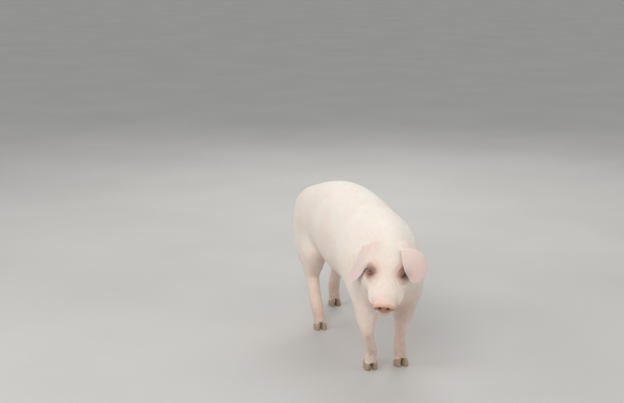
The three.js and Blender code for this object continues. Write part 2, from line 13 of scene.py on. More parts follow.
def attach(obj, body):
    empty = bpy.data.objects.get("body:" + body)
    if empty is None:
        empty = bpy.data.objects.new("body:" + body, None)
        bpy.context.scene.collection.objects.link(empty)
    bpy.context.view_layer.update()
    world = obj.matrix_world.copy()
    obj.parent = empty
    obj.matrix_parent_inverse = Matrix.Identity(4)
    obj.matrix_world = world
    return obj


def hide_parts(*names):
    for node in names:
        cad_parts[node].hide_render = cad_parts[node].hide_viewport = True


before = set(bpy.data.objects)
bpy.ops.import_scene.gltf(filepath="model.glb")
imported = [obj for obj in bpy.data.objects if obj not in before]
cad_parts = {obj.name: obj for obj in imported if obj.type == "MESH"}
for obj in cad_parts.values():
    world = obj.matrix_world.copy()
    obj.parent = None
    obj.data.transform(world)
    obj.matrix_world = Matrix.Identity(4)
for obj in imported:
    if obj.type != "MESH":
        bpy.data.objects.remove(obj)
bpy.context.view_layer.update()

bl_info = {
    "name": "Growing pig",
    "version": (1, 0, 0),
    "blender": (4, 5, 0),
    "location": "3D View > Sidebar > Pig",
    "description": "Skin, eyes, claws, bristles and stage of a life-size pig",
    "category": "Object",
}

MM = 0.001
LEGS = ("foreleg_left", "foreleg_right", "hindleg_left", "hindleg_right")
SIDES = {"left": 1, "right": -1}

# What changes from node to node of the flesh: how widely its facets are smoothed into one skin and how
# deep the coat lies over it, in mm; how pink it is; how long its bristles are, in mm, and how many stand
# on a square centimetre.
FLESH_TABLE = {
    "trunk": (27, 2.4, 0.04, 13, 19),
    "neck": (20, 2.2, 0.06, 12, 21),
    "head": (6, 1.0, 0.15, 8, 30),
    "jaw": (5.5, 1.0, 0.32, 8, 22),
    "snout": (2.6, 0.4, 0.34, 4, 16),
    "ear_left": (3.4, 1.5, 0.3, 7, 24),
    "ear_right": (3.4, 1.5, 0.3, 7, 24),
    "tail_base": (4, 0.8, 0.45, 10, 16),
    "tail_tip": (2.5, 0.5, 0.5, 14, 18),
    **{f"{leg}_upper": (10, 1.8, 0.26, 10, 20) for leg in LEGS},
    **{f"{leg}_lower": (4.6, 0.9, 0.32, 7, 28) for leg in LEGS},
}
FLESH = list(FLESH_TABLE)
SOFTNESS, COAT_DEPTH, BLUSH, HAIR_LENGTH, HAIR_DENSITY = (
    dict(zip(FLESH, column)) for column in zip(*FLESH_TABLE.values())
)

ORIGIN_SHIFT = np.array([2.582, 12.055, 0.0])  # from the places written here to the frame's, in mm

# The head's own frame: its origin at the poll, the nose towards -Y and the brow towards +Z, in mm.
HEAD_PLACE = np.array([-37.0, -439.0, 539.0]) + ORIGIN_SHIFT
HEAD_TURN = np.array(
    Matrix.Rotation(math.radians(-23.5), 3, "Z")
    @ Matrix.Rotation(math.radians(3), 3, "Y")
    @ Matrix.Rotation(math.radians(42), 3, "X")
)
EYE_PLACE = (50.0, -104.0, -28.0)  # left eye's centre, in the head's frame
EYE_GAZE = (0.80, -0.50, 0.34)
EYE_RADIUS = 12.0
EYE_OPENING = (11.0, 6.2)  # half-length and half-height between the lids
LID_RADIUS = 14.2
LID_SPARE = 0.6  # how far the ball that carries the lids stays under them
LID_REACH = (26, 34)  # distances from an eye's centre between which its lids fade out
UPPER_ARCH, LOWER_ARCH = 1.12, 0.88  # each lid's height for the opening's half-height
LID_POWERS = (1.7, 1.9)  # how blunt the opening's corners are, and how full its arches
DISC_PLACE = (0.0, -249.0, -40.0)  # middle of the snout's face
DISC_TILT = 12.0
NOSTRIL_OFFSET = 15.0
MOUTH_BEND = (-146, -84)  # Y and Z of the place where the mouth's line turns up to its corner
MOUTH_RISE = (18, 97)  # how far the line rises from there to the disc, and over what length
EAR_RIM = 2.3  # radius of the beads that round an ear's thin rim
EAR_RIM_INSET = 1.3  # how far a bead's centre lies in from the rim
EAR_PLUMP = 1.3  # thickness lent to each face of an ear while the skin is made
EAR_WAYS = {  # each ear's root and tip
    "ear_left": ((54, -6, -20), (98, -141, -31)),
    "ear_right": ((-54, -12, -22), (-140, -102, -116)),
}

COLLAR = {"claw": 0.34, "dewclaw": 0.55}  # share of each claw's height that the skin covers
COLLAR_SPARE = 1.6  # how far the skin stands out round a claw
KNEES = ((92, -234, 160), (-78, -322, 180), (84, 496, 222), (-92, 322, 218))  # where each leg is parted

# Softness where two nodes meet at an angle, and the distances between which it fades out.
EAR_ROOT_SOFTNESS = (11, 24, 54)
KNEE_SOFTNESS = (14, 30, 66)
SMOOTHING = (0.9, 330)  # share of the way to the neighbours' mean, and the passes, where it is softest
MOST_LIFT = 12  # greatest distance by which the smoothed skin is brought back
WELD = 1e-6  # distance in metres within which vertices become one
SHARP = 0.85  # least angle between the faces at an edge that is rounded, in radians
FLAT = 0.02  # greatest angle between faces that become one, in radians


# ---- numbers and vectors, in mm ----
def ease(low, high, x):
    """0 below low, 1 above high, and a smooth step between."""
    t = np.clip((x - low) / (high - low), 0, 1)
    return t * t * (3 - 2 * t)


def bump(x, width):
    return np.exp(-((x / width) ** 2))


def unit(v):
    return v / np.maximum(np.linalg.norm(v, axis=-1, keepdims=True), 1e-9)


def to_head(points):
    return (points - HEAD_PLACE) @ HEAD_TURN


def from_head(points):
    return np.asarray(points, float) @ HEAD_TURN.T + HEAD_PLACE


def turn_from_head(vectors):
    return np.asarray(vectors, float) @ HEAD_TURN.T


def eye_centre(side):
    return from_head((side * EYE_PLACE[0], *EYE_PLACE[1:]))


def gap_from(points, place):
    return np.linalg.norm(points - place, axis=1)


def around(points, place, most, near, far):
    """A value that is at its most up to one distance from a place, and fades to 0 at another."""
    return most * (1 - ease(near, far, gap_from(points, place)))


def mouth_line(y):
    """Height of the mouth's line between its bend and the disc, in the head's frame."""
    return MOUTH_BEND[1] + (MOUTH_BEND[0] - y) * MOUTH_RISE[0] / MOUTH_RISE[1]


# ---- meshes as arrays ----
def points_of(mesh):
    co = np.empty(len(mesh.vertices) * 3, np.float32)
    mesh.vertices.foreach_get("co", co)
    return co.reshape(-1, 3).astype(float) / MM


def set_points(mesh, points):
    mesh.vertices.foreach_set("co", (points * MM).astype(np.float32).ravel())
    mesh.update()


def edges_of(mesh):
    ends = np.empty(len(mesh.edges) * 2, np.int32)
    mesh.edges.foreach_get("vertices", ends)
    return ends.reshape(-1, 2)


def triangles_of(mesh):
    mesh.calc_loop_triangles()
    corners = np.empty(len(mesh.loop_triangles) * 3, np.int32)
    mesh.loop_triangles.foreach_get("vertices", corners)
    return corners.reshape(-1, 3)


def normals_of(points, triangles):
    a, b, c = (points[triangles[:, k]] for k in range(3))
    across = np.cross(b - a, c - a)

    def total(m):
        return sum(np.bincount(triangles[:, k], across[:, m], len(points)) for k in range(3))

    return unit(np.stack([total(m) for m in range(3)], axis=1))


def spread(values, ends, passes, count):
    """Averages values over each vertex's neighbours, a number of times."""
    flat = values.reshape(count, -1).astype(float)
    a, b = ends.T
    ties = np.maximum(np.bincount(a, minlength=count) + np.bincount(b, minlength=count), 1)
    for _ in range(passes):
        mean = [np.bincount(a, column[b], count) + np.bincount(b, column[a], count) for column in flat.T]
        flat = 0.5 * flat + 0.5 * np.stack(mean, axis=1) / ties[:, None]
    return flat.reshape(values.shape)


def applied(obj):
    """Bakes an object's modifiers into its mesh."""
    made = bpy.data.meshes.new_from_object(obj.evaluated_get(bpy.context.evaluated_depsgraph_get()))
    obj.modifiers.clear()
    old, obj.data = obj.data, made
    bpy.data.meshes.remove(old)
    return obj


def new_object(name, mesh):
    obj = bpy.data.objects.new(name, mesh)
    mesh.name = name
    bpy.context.scene.collection.objects.link(obj)
    return obj


def shade_smooth(mesh):
    mesh.polygons.foreach_set("use_smooth", np.ones(len(mesh.polygons), bool))


def cut_level(bm, height, clear_below=False):
    """Cuts a mesh across at a height, and can drop what is below."""
    geom = bm.verts[:] + bm.edges[:] + bm.faces[:]
    bmesh.ops.bisect_plane(
        bm, geom=geom, plane_co=(0, 0, height), plane_no=(0, 0, 1), clear_inner=clear_below
    )


def mesh_of(bm, name):
    mesh = bpy.data.meshes.new(name)
    bm.to_mesh(mesh)
    bm.free()
    return mesh


def weigh(obj, name, weights, levels=40):
    """Writes an array of weights to a vertex group, in a few steps of weight."""
    group = obj.vertex_groups.new(name=name)
    step = np.round(weights * levels).astype(int)
    for level in range(1, levels + 1):
        chosen = np.nonzero(step == level)[0]
        if len(chosen):
            group.add(chosen.tolist(), level / levels, "REPLACE")


def write_field(mesh, name, values):
    field = mesh.attributes.get(name) or mesh.attributes.new(name, "FLOAT", "POINT")
    field.data.foreach_set("value", values.astype(np.float32))


def read_field(mesh, name):
    values = np.empty(len(mesh.vertices), np.float32)
    mesh.attributes[name].data.foreach_get("value", values)
    return values.astype(float)


# ---- the skin's underlying shape ----
class FleshMap:
    """Finds the nearest place on the solid pieces, and which piece it is on."""

    def __init__(self):
        points, faces, self.owner = [], [], []
        for index, name in enumerate(FLESH):
            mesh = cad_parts[name].data
            start = len(points)
            points += [v.co / MM for v in mesh.vertices]
            faces += [[start + v for v in face.vertices] for face in mesh.polygons]
            self.owner += [index] * len(mesh.polygons)
        self.owner = np.array(self.owner)
        self.tree = BVHTree.FromPolygons(points, faces)

    def nearest(self, points):
        found = [self.tree.find_nearest(p) for p in points.tolist()]
        place = np.array([f[0] for f in found])
        owner = self.owner[[f[2] for f in found]]
        return place, owner


def by_piece(owner, table):
    return np.array([table[name] for name in FLESH], float)[owner]


def on_pieces(owner, *names):
    return np.isin(owner, [FLESH.index(name) for name in names])


def plump_ear(bm, verts):
    """Thickens an ear away from its sharp rim, and sets small balls close together along the rim."""
    bm.normal_update()
    edges = {e for v in verts for e in v.link_edges}
    sharp = [e for e in edges if len(e.link_faces) == 2 and e.calc_face_angle() > SHARP]
    rim = {v for e in sharp for v in e.verts}
    places = []
    for edge in sharp:
        a, b = (v.co - v.normal * EAR_RIM_INSET * MM for v in edge.verts)
        steps = int(edge.calc_length() / MM) + 1
        places += [a.lerp(b, step / steps) for step in range(steps)]
    for vert in set(verts) - rim:
        vert.co += vert.normal * EAR_PLUMP * MM
    for place in sorted(places, key=tuple):
        bmesh.ops.create_icosphere(
            bm, subdivisions=1, radius=EAR_RIM * MM, matrix=Matrix.Translation(place)
        )


def add_collar(bm, node, share):
    """Adds the upper part of a claw, a little stouter, so that the skin closes over its top."""
    part = bmesh.new()
    part.from_mesh(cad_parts[node].data)
    bmesh.ops.remove_doubles(part, verts=part.verts, dist=WELD)
    low, high = (pick(v.co.z for v in part.verts) for pick in (min, max))
    cut_level(part, high - (high - low) * share, clear_below=True)
    bmesh.ops.holes_fill(part, edges=part.edges[:], sides=0)
    part.normal_update()
    for vert in part.verts:
        vert.co += vert.normal * COLLAR_SPARE * MM
    bmesh.ops.triangulate(part, faces=part.faces[:])
    bm.from_mesh(mesh_of(part, "collar"))


def remeshed_flesh(voxel):
    bm = bmesh.new()
    for name in FLESH:
        first = len(bm.verts)
        bm.from_mesh(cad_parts[name].data)
        if name.startswith("ear"):
            bm.verts.ensure_lookup_table()
            ear = bm.verts[first:]
            bmesh.ops.remove_doubles(bm, verts=ear, dist=WELD)
            plump_ear(bm, [v for v in ear if v.is_valid])
    for leg in LEGS:
        for kind, share in COLLAR.items():
            for side in ("outer", "inner"):
                add_collar(bm, f"{leg}_{kind}_{side}", share)
    bmesh.ops.remove_doubles(bm, verts=bm.verts, dist=WELD)
    for side in SIDES.values():
        ball = Matrix.Translation(eye_centre(side) * MM)
        radius = (LID_RADIUS - LID_SPARE) * MM
        bmesh.ops.create_uvsphere(bm, u_segments=32, v_segments=20, radius=radius, matrix=ball)
    obj = new_object("pig_skin", mesh_of(bm, "pig_skin"))
    remesh = obj.modifiers.new("one surface", "REMESH")
    remesh.mode = "VOXEL"
    remesh.voxel_size = voxel
    return applied(obj)


def keep_largest(obj):
    """Drops the small closed shells that a remesh leaves inside a thin cut."""
    mesh = obj.data
    ends = edges_of(mesh)
    label = np.arange(len(mesh.vertices))
    while True:
        low = np.minimum(label[ends[:, 0]], label[ends[:, 1]])
        before = label.copy()
        np.minimum.at(label, ends[:, 0], low)
        np.minimum.at(label, ends[:, 1], low)
        label = label[label]
        if np.array_equal(before, label):
            break
    sizes = np.bincount(label)
    stray = np.nonzero(label != sizes.argmax())[0]
    if len(stray):
        bm = bmesh.new()
        bm.from_mesh(mesh)
        bm.verts.ensure_lookup_table()
        bmesh.ops.delete(bm, geom=[bm.verts[i] for i in stray], context="VERTS")
        bm.to_mesh(mesh)
        bm.free()


def smooth_skin(obj, flesh):
    """Smooths each region by its own width, then brings it back under the solids' outline."""
    mesh = obj.data
    _, owner = flesh.nearest(points_of(mesh))
    ends = edges_of(mesh)
    count = len(mesh.vertices)
    softness = by_piece(owner, SOFTNESS)
    points = points_of(mesh)
    for root, _ in EAR_WAYS.values():
        softness = np.maximum(softness, around(points, from_head(root), *EAR_ROOT_SOFTNESS))
    for knee in KNEES:
        softness = np.maximum(softness, around(points - ORIGIN_SHIFT, knee, *KNEE_SOFTNESS))
    softness = spread(softness, ends, 30, count)
    weigh(obj, "soft", (softness / softness.max()) ** 2)
    smooth = obj.modifiers.new("soft", "SMOOTH")
    smooth.vertex_group = "soft"
    smooth.factor, smooth.iterations = SMOOTHING
    applied(obj)
    mesh = obj.data
    points = points_of(mesh)
    normals = normals_of(points, triangles_of(mesh))
    place, owner = flesh.nearest(points)
    below = np.clip(((place - points) * normals).sum(1), -MOST_LIFT, MOST_LIFT)
    below *= by_piece(owner, {name: 0.0 if name.startswith("ear") else 1.0 for name in FLESH})
    for side in SIDES.values():
        below *= ease(15, 26, gap_from(points, eye_centre(side)))
    for root, _ in EAR_WAYS.values():
        below *= ease(30, 60, gap_from(points, from_head(root)))
    below *= ease(16, 44, points[:, 2])
    depth = by_piece(owner, COAT_DEPTH)
    near = spread(np.stack([below, depth], axis=1), ends, 60, count)
    far = spread(near[:, 0], ends, 240, count)
    broad = ease(9, 17, softness)
    lift = near[:, 0] * (1 - broad) + far * broad
    points += normals * (lift - near[:, 1])[:, None]
    set_points(mesh, points)
    obj.vertex_groups.clear()


def thin_out(obj, flesh, most):
    """Leaves the head and feet fine, and makes the broad smooth parts coarser."""
    mesh = obj.data
    points = points_of(mesh)
    owner = flesh.nearest(points)[1]
    spare = {name: 1.0 for name in FLESH}
    spare.update({name: 0.0 for name in ("snout", "ear_left", "ear_right")})
    spare.update({"head": 0.12, "jaw": 0.2, "tail_tip": 0.5, "tail_base": 0.6})
    spare.update({f"{leg}_lower": 0.7 for leg in LEGS})
    weights = spread(by_piece(owner, spare), edges_of(mesh), 10, len(points))
    weigh(obj, "spare", weights)
    decimate = obj.modifiers.new("thin", "DECIMATE")
    decimate.vertex_group = "spare"
    decimate.vertex_group_factor = 1.0
    decimate.use_collapse_triangulate = True
    decimate.ratio = most / len(triangles_of(mesh))
    applied(obj)
    obj.vertex_groups.clear()


def refine(obj, wanted):
    """Splits every edge whose two ends are wanted, and leaves triangles."""
    bm = bmesh.new()
    bm.from_mesh(obj.data)
    bm.verts.ensure_lookup_table()
    chosen = [e for e in bm.edges if wanted[e.verts[0].index] and wanted[e.verts[1].index]]
    bmesh.ops.subdivide_edges(bm, edges=chosen, cuts=1, use_grid_fill=True, smooth=0.0)
    bmesh.ops.triangulate(bm, faces=bm.faces[:])
    bm.to_mesh(obj.data)
    bm.free()


# ---- folds, lids, nostrils and lips ----
# Each fold is a path on the left side of the head, in the head's frame, with its width and depth in mm.
# A negative depth is a ridge. Each one is mirrored to the right side.
HEAD_FOLDS = [
    ([(40, -128, -38), (54, -120, -50), (66, -102, -52), (68, -84, -42)], 2.4, 2.0),
    ([(38, -142, -50), (56, -130, -62), (70, -106, -68)], 3.0, 1.3),
    ([(36, -124, -18), (48, -110, -6), (60, -92, -10), (66, -78, -22)], 2.0, 1.7),
    ([(30, -112, -6), (42, -94, 6), (56, -74, 0)], 3.4, 1.3),
    ([(26, -136, -20), (34, -150, -34), (38, -166, -48)], 4.0, 1.2),
    ([(44, -146, -84), (58, -132, -80), (68, -112, -88)], 5.0, 1.0),
    ([(30, -214, -62), (36, -196, -66), (40, -176, -66)], 2.6, 1.1),
    ([(32, -226, -50), (21, -223, -22), (0, -222, -14)], 2.2, 1.0),
    ([(34, -213, -50), (22, -209, -21), (0, -208, -13)], 2.6, 0.7),
    ([(6, -72, 4), (9, -92, 0), (7, -112, -6)], 5.0, 0.4),
    ([(66, -4, -52), (74, -18, -96), (60, -44, -136), (24, -60, -156)], 7.0, 4.0),
    ([(60, 6, -40), (78, -4, -80), (74, -22, -128)], 6.0, 2.2),
]
# Folds of the body, in the model's frame, with the origin's shift still to be added.
BODY_FOLDS = [
    ([(140, -128, 352), (128, -134, 318), (104, -146, 286), (78, -150, 272)], 8.0, 6.0),
    ([(-138, -196, 352), (-124, -206, 316), (-98, -214, 284), (-70, -216, 270)], 8.0, 6.0),
    ([(140, 296, 430), (134, 282, 380), (112, 276, 338), (86, 280, 322)], 11.0, 4.0),
    ([(-142, 200, 400), (-134, 188, 370), (-112, 180, 330), (-84, 184, 304)], 10.0, 4.0),
    ([(0, 512, 458), (0, 512, 420), (0, 500, 370), (0, 470, 330)], 11.0, 8.0),
    ([(0, -150, 600), (0, 60, 616), (0, 240, 614), (0, 380, 566)], 15.0, 2.2),
    ([(-118, -300, 470), (-112, -318, 420), (-96, -330, 360)], 7.0, 3.0),
    ([(104, -296, 470), (102, -306, 420), (96, -310, 372)], 8.0, 1.8),
    ([(86, -403, 341), (100, -362, 312), (108, -327, 288), (105, -307, 262), (88, -285, 240)], 9.0, 4.0),
    ([(-127, -311, 318), (-120, -335, 312), (-113, -359, 312), (-100, -378, 311)], 8.0, 4.0),
    ([(-138, 66, 540), (-148, 62, 480), (-150, 72, 430), (-140, 104, 380), (-110, 150, 340)], 21.0, 4.5),
    ([(96, -246, 166), (78, -254, 170)], 3.0, 1.2),
    ([(100, 470, 236), (84, 466, 228), (68, 470, 232)], 4.0, 1.6),
    ([(-70, 296, 232), (-86, 290, 228), (-104, 296, 232)], 4.0, 1.6),
]
# Broad swellings and hollows: place, reach and height.
BODY_MASSES = [
    ((122, -214, 440), 58, 4.0),
    ((-118, -232, 446), 54, 4.0),
    ((134, -190, 330), 30, 4.0),
    ((-118, -262, 340), 28, 4.0),
    ((96, 330, 548), 42, 3.0),
    ((-96, 330, 548), 42, 3.0),
    ((138, 352, 352), 50, 2.5),
    ((148, 236, 420), 52, -5.0),
    ((-148, 110, 430), 46, -3.0),
    ((142, -104, 470), 56, -3.5),
    ((-142, -116, 470), 56, -3.5),
    ((0, 505, 478), 12, -5.0),
    ((84, 524, 230), 20, 5.0),
    ((-92, 352, 228), 20, 5.0),
    ((92, -262, 160), 18, 2.5),
    ((-78, -350, 184), 18, 2.5),
]
PATH_STEP = 1.5  # distance between the places that stand for a fold
FOLD_FADE = 0.22  # share of a fold's length over which each end fades out
BANK = (0.45, 2.1)  # height of the swelling beside a fold for its depth, and its place for its width
CHUNK = 4000  # points measured against a fold at a time
TEAT = (6.5, 3.6)  # height and radius
TEAT_MOUND = (2.2, 9)
TEATS = [(side * (36 + 3 * (row % 2)), -150 + 72 * row, 200) for row in range(6) for side in (1, -1)]


def laid_path(tree, path):
    """A path's points a short step apart, each laid onto the surface, with its share of the way."""
    path = np.asarray(path, float)
    at = np.concatenate([[0], np.cumsum(np.linalg.norm(np.diff(path, axis=0), axis=1))])
    way = np.linspace(0, at[-1], max(int(at[-1] / PATH_STEP), 8))
    dense = np.stack([np.interp(way, at, path[:, k]) for k in range(3)], axis=1)
    for _ in range(40):
        dense[1:-1] = (dense[:-2] + 2 * dense[1:-1] + dense[2:]) / 4
    return np.array([tree.find_nearest(p)[0] for p in dense.tolist()]), way / at[-1]


def carve(points, normals, tree, path, width, depth):
    """Presses a soft groove into the skin along a path, with a low swelling on each side."""
    line, share = laid_path(tree, path)
    reach = 4 * width
    within = (points > line.min(0) - reach) & (points < line.max(0) + reach)
    near = np.nonzero(within.all(1))[0]
    for start in range(0, len(near), CHUNK):
        some = near[start : start + CHUNK]
        gap = np.linalg.norm(points[some][:, None] - line[None], axis=2)
        closest = gap.argmin(1)
        distance = gap[np.arange(len(some)), closest]
        fade = ease(0, FOLD_FADE, share[closest]) * ease(0, FOLD_FADE, 1 - share[closest])
        shape = -bump(distance, width) + BANK[0] * bump(distance - BANK[1] * width, width)
        points[some] += normals[some] * (depth * fade * shape)[:, None]


def mirrored(path):
    return [(-x, y, z) for x, y, z in path]


def fold_skin(points, normals, tree):
    for path, width, depth in HEAD_FOLDS:
        for way in (path, mirrored(path)):
            carve(points, normals, tree, from_head(way), width, depth)
    for path, width, depth in BODY_FOLDS:
        carve(points, normals, tree, np.asarray(path) + ORIGIN_SHIFT, width, depth)
    for place, reach, height in BODY_MASSES:
        points += normals * (height * bump(gap_from(points - ORIGIN_SHIFT, place), reach))[:, None]


def teat_places(tree):
    return [np.array(tree.find_nearest(Vector(np.array(t) + ORIGIN_SHIFT))[0]) for t in TEATS]


def raise_teats(points, normals, places):
    for place in places:
        gap = gap_from(points, place)
        height = sum(high * bump(gap, wide) for high, wide in (TEAT, TEAT_MOUND))
        points += normals * height[:, None]


def eye_axes(side):
    """An eye's centre, the way it looks, the way to the nose and the way up, in the model's frame."""
    centre = eye_centre(side)
    gaze = unit(turn_from_head((side * EYE_GAZE[0], *EYE_GAZE[1:])))
    nose = turn_from_head((-side * 0.25, -1, -0.28))
    nose = unit(nose - gaze * (nose @ gaze))
    up = np.cross(gaze, nose)
    if up @ turn_from_head((0, 0, 1)) < 0:
        up = -up
    return centre, gaze, nose, up


def opening(x, y):
    """Below 1 between the lids: a pointed oval, with the upper lid more arched."""
    half_length, half_height = EYE_OPENING
    tall = np.where(y > 0, half_height * UPPER_ARCH, half_height * LOWER_ARCH)
    return np.abs(x / half_length) ** LID_POWERS[0] + np.abs(y / tall) ** LID_POWERS[1]


def shape_lids(points, side):
    """Draws the skin round an eyeball into two lids, with an opening between them."""
    centre, gaze, nose, up = eye_axes(side)
    offset = points - centre
    radius = np.linalg.norm(offset, axis=1)
    near = np.nonzero(radius < LID_REACH[1])[0]
    way = offset[near] / radius[near][:, None]
    front = way @ gaze
    x, y = (way @ nose) * LID_RADIUS, (way @ up) * LID_RADIUS
    inside = opening(x, y)
    rim = (front > 0) & (inside < 1) & (inside > 0.55)
    pull = np.where(rim, np.maximum(inside, 1e-6) ** -0.54, 1)
    x, y = x * pull, y * pull
    ahead = np.sqrt(np.maximum(LID_RADIUS**2 - x**2 - y**2, 1))
    drawn = unit(nose * x[:, None] + up * y[:, None] + gaze * ahead[:, None])
    way = np.where(rim[:, None], drawn, way)
    inside = np.where(rim, 1.0, inside)
    lid = LID_RADIUS + 0.5 * bump(inside - 1.25, 0.25) - 1.3 * bump(inside - 2.5, 0.45)
    lid += np.where(y > 0, 1.0, 0.35) * ease(2.6, 4.5, inside)
    lid = np.where(rim, LID_RADIUS - 0.9, lid)
    lid = np.where(inside < 0.999, EYE_RADIUS - 3.2, lid)
    blend = 1 - ease(-0.12, 0.62, front)
    target = lid * (1 - blend) + radius[near] * blend
    hold = 1 - ease(*LID_REACH, radius[near])
    target = radius[near] + (target - radius[near]) * hold
    points[near] = centre + way * target[:, None]


def disc_frame(points):
    """Places on the snout's disc: sideways, into the snout, and up its face."""
    turn = np.array(Matrix.Rotation(math.radians(DISC_TILT), 3, "X"))
    return (to_head(points) - DISC_PLACE) @ turn, turn


def shape_snout(points):
    """Opens the nostrils and gives the disc its raised rim and hollowed face."""
    place, turn = disc_frame(points)
    inwards = unit(turn_from_head(turn @ np.array((0, 1, 0))))
    x, deep, z = place.T
    on_face = (1 - ease(5, 12, deep)) * (np.hypot(x / 46, z / 34) < 1.1)
    edge = np.hypot(x / 38, z / 26)
    face = -1.4 * bump(edge - 0.9, 0.16) + 1.6 * (1 - ease(0.2, 0.85, edge))
    hole = np.hypot((np.abs(x) - NOSTRIL_OFFSET) / 6.2, (z - 0.5 - 0.12 * (np.abs(x) - NOSTRIL_OFFSET)) / 8.0)
    wing = -1.3 * bump(hole - 1.35, 0.3)
    depth = 13 * (1 - ease(0.5, 1.05, hole)) + wing + face
    points += inwards * (depth * on_face)[:, None]
    return np.where(on_face > 0.3, 1 - ease(0.7, 1.1, hole), 0)


def part_lips(points, normals):
    """Draws the line of the mouth, from under the disc back to a corner that turns up."""
    _, y, z = to_head(points).T
    bend_y, bend_z = MOUTH_BEND
    gap = z - np.where(y < bend_y, mouth_line(y), bend_z + (y - bend_y) ** 2 * 0.014)
    along = ease(128, 172, -y) * (1 - ease(233, 241, -y))
    shape = -3.4 * bump(gap, 1.9) + 1.5 * bump(gap - 5.5, 3.6) + 1.2 * bump(gap + 5, 3.4)
    points += normals * (shape * along)[:, None]
    return along * bump(gap, 2.2)


def loosen(points, normals, amount):
    """Slow, low unevenness, as living skin has."""
    slow = np.array([noise.noise(Vector(p)) for p in (points / 46).tolist()])
    fast = np.array([noise.noise(Vector(p)) for p in (points / 15 + 7).tolist()])
    points += normals * (amount * (slow + 0.3 * fast))[:, None]


# ---- what changes over the skin: colour, and the lie, length and density of the coat ----
TAIL_CURL = (550.0, 484.0)  # Y and Z of the curl's centre
TAIL_END = (34.0, 572.0, 496.0)
TAIL_TUFT = (26.0, 12, 40)  # hairs on a square centimetre, and the distances between which they thin out
# Dark shade painted round each deep eye socket: strength, then place and reach towards the nose, up and
# ahead.
EYE_PATCHES = (
    (1.1, (0, 20), (-2, 20), (6, 26)),
    (0.5, (4, 24), (-22, 17), (0, 28)),
)


def lie_of_coat(points, normals, owner, ends):
    """The way the bristles point: back along the body, down the legs, up the face, out along the ears."""
    side = np.sign(points[:, 0])
    none = np.zeros(len(points))
    down = -0.45 * (1 - normals[:, 2] ** 2)
    under = 0.3 * (normals[:, 2] < 0.3)
    ways = {
        "trunk": np.stack([none, none + 1, down], axis=1),
        "head": turn_from_head((0, 1, 0)) - np.stack([none, none, under], axis=1),
        "leg": np.stack([0.06 * side, none + 0.3, none - 1], axis=1),
    }
    middle_y, middle_z = TAIL_CURL[0] + ORIGIN_SHIFT[1], TAIL_CURL[1]
    across = points[:, 1:] - (middle_y, middle_z)
    ways["tail"] = np.stack([none + 0.25, across[:, 1], -across[:, 0]], axis=1)
    root = points[:, 1] < middle_y - 26
    ways["tail"][root] = (0, 1, 0)
    for name, (start, end) in EAR_WAYS.items():
        ways[name] = np.broadcast_to(turn_from_head(np.subtract(end, start)), points.shape)
    lie = np.zeros_like(points)
    for index, name in enumerate(FLESH):
        kind = {"neck": "trunk", "jaw": "head", "snout": "head", "tail_base": "tail"}.get(name, name)
        kind = "leg" if "leg" in kind else "tail" if kind == "tail_tip" else kind
        chosen = owner == index
        lie[chosen] = unit(ways[kind][chosen])
    lie = spread(lie, ends, 60, len(points))
    return unit(lie - normals * (lie * normals).sum(1)[:, None])


def colour_fields(points, normals, owner, ends, nostril, mouth):
    """How pink, lilac, dusty and wet each place of the skin is, and how much brown shade is painted on it,
    from 0 to 1.
    """
    head = to_head(points)
    on_head = on_pieces(owner, "head", "jaw", "snout")
    on_trunk = on_pieces(owner, "trunk", "neck")
    height = points[:, 2]
    blush = spread(by_piece(owner, BLUSH), ends, 120, len(points))
    blush += on_trunk * 0.34 * (1 - ease(250, 400, height))
    blush += on_trunk * 0.16 * ease(0.2, 0.95, normals[:, 1]) * (1 - ease(420, 560, height))
    blush += 0.2 * ease(0.2, 0.95, -normals[:, 2]) * ease(120, 240, height)
    blush += 0.13 * (1 - ease(60, 270, height))
    umber, lilac = np.zeros((2, len(points)))
    for side in SIDES.values():
        centre, gaze, nose, up = eye_axes(side)
        offset = points - centre
        along = (offset @ nose, offset @ up, offset @ gaze)
        # Brown shade painted in and below each deep eye socket.
        for strength, *spans in EYE_PATCHES:
            umber += strength * math.prod(
                bump(way - middle, reach) for way, (middle, reach) in zip(along, spans)
            )
        blush += on_head * 0.6 * bump(gap_from(points, centre), 36)
    for name, (root, tip) in EAR_WAYS.items():
        root, tip = from_head(root), from_head(tip)
        length = np.linalg.norm(tip - root)
        along = (points - root) @ (tip - root) / length**2
        on_ear = on_pieces(owner, name)
        lilac += on_ear * ease(-0.05, 0.65, along) * 0.75
        at_root = bump(gap_from(points, root), 30)
        blush += 0.26 * at_root
        # A little shade painted in the crease at each ear's root.
        umber += 0.06 * at_root
        blush += on_ear * 0.35 * ease(0.1, 0.9, -normals[:, 2])
    place, _ = disc_frame(points)
    edge = np.hypot(place[:, 0] / 40, place[:, 2] / 28)
    disc = on_head * (1 - ease(6, 14, place[:, 1])) * (edge < 1.25)
    # Shade painted in the nostrils, along the mouth's groove and on the disc's face inside its raised rim.
    umber += 0.95 * nostril + 0.4 * mouth + 0.42 * disc * (1 - ease(0.72, 1.0, edge))
    blush += 0.5 * disc + on_head * 0.12 * ease(170, 235, -head[:, 1])
    grime = (1 - ease(10, 130, height)) * 0.6 + 0.12 * (1 - ease(160, 340, height))
    grime += 0.14 * disc + 0.1 * on_head * ease(-90, -130, head[:, 2])
    lilac = spread(lilac, ends, 110, len(points))
    fields = np.stack([blush, umber, lilac, grime, 0.85 * disc + 0.3 * nostril], axis=1)
    fields = np.clip(spread(fields, ends, 3, len(points)), 0, 1)
    return dict(zip(("blush", "umber", "lilac", "grime", "wet"), fields.T))


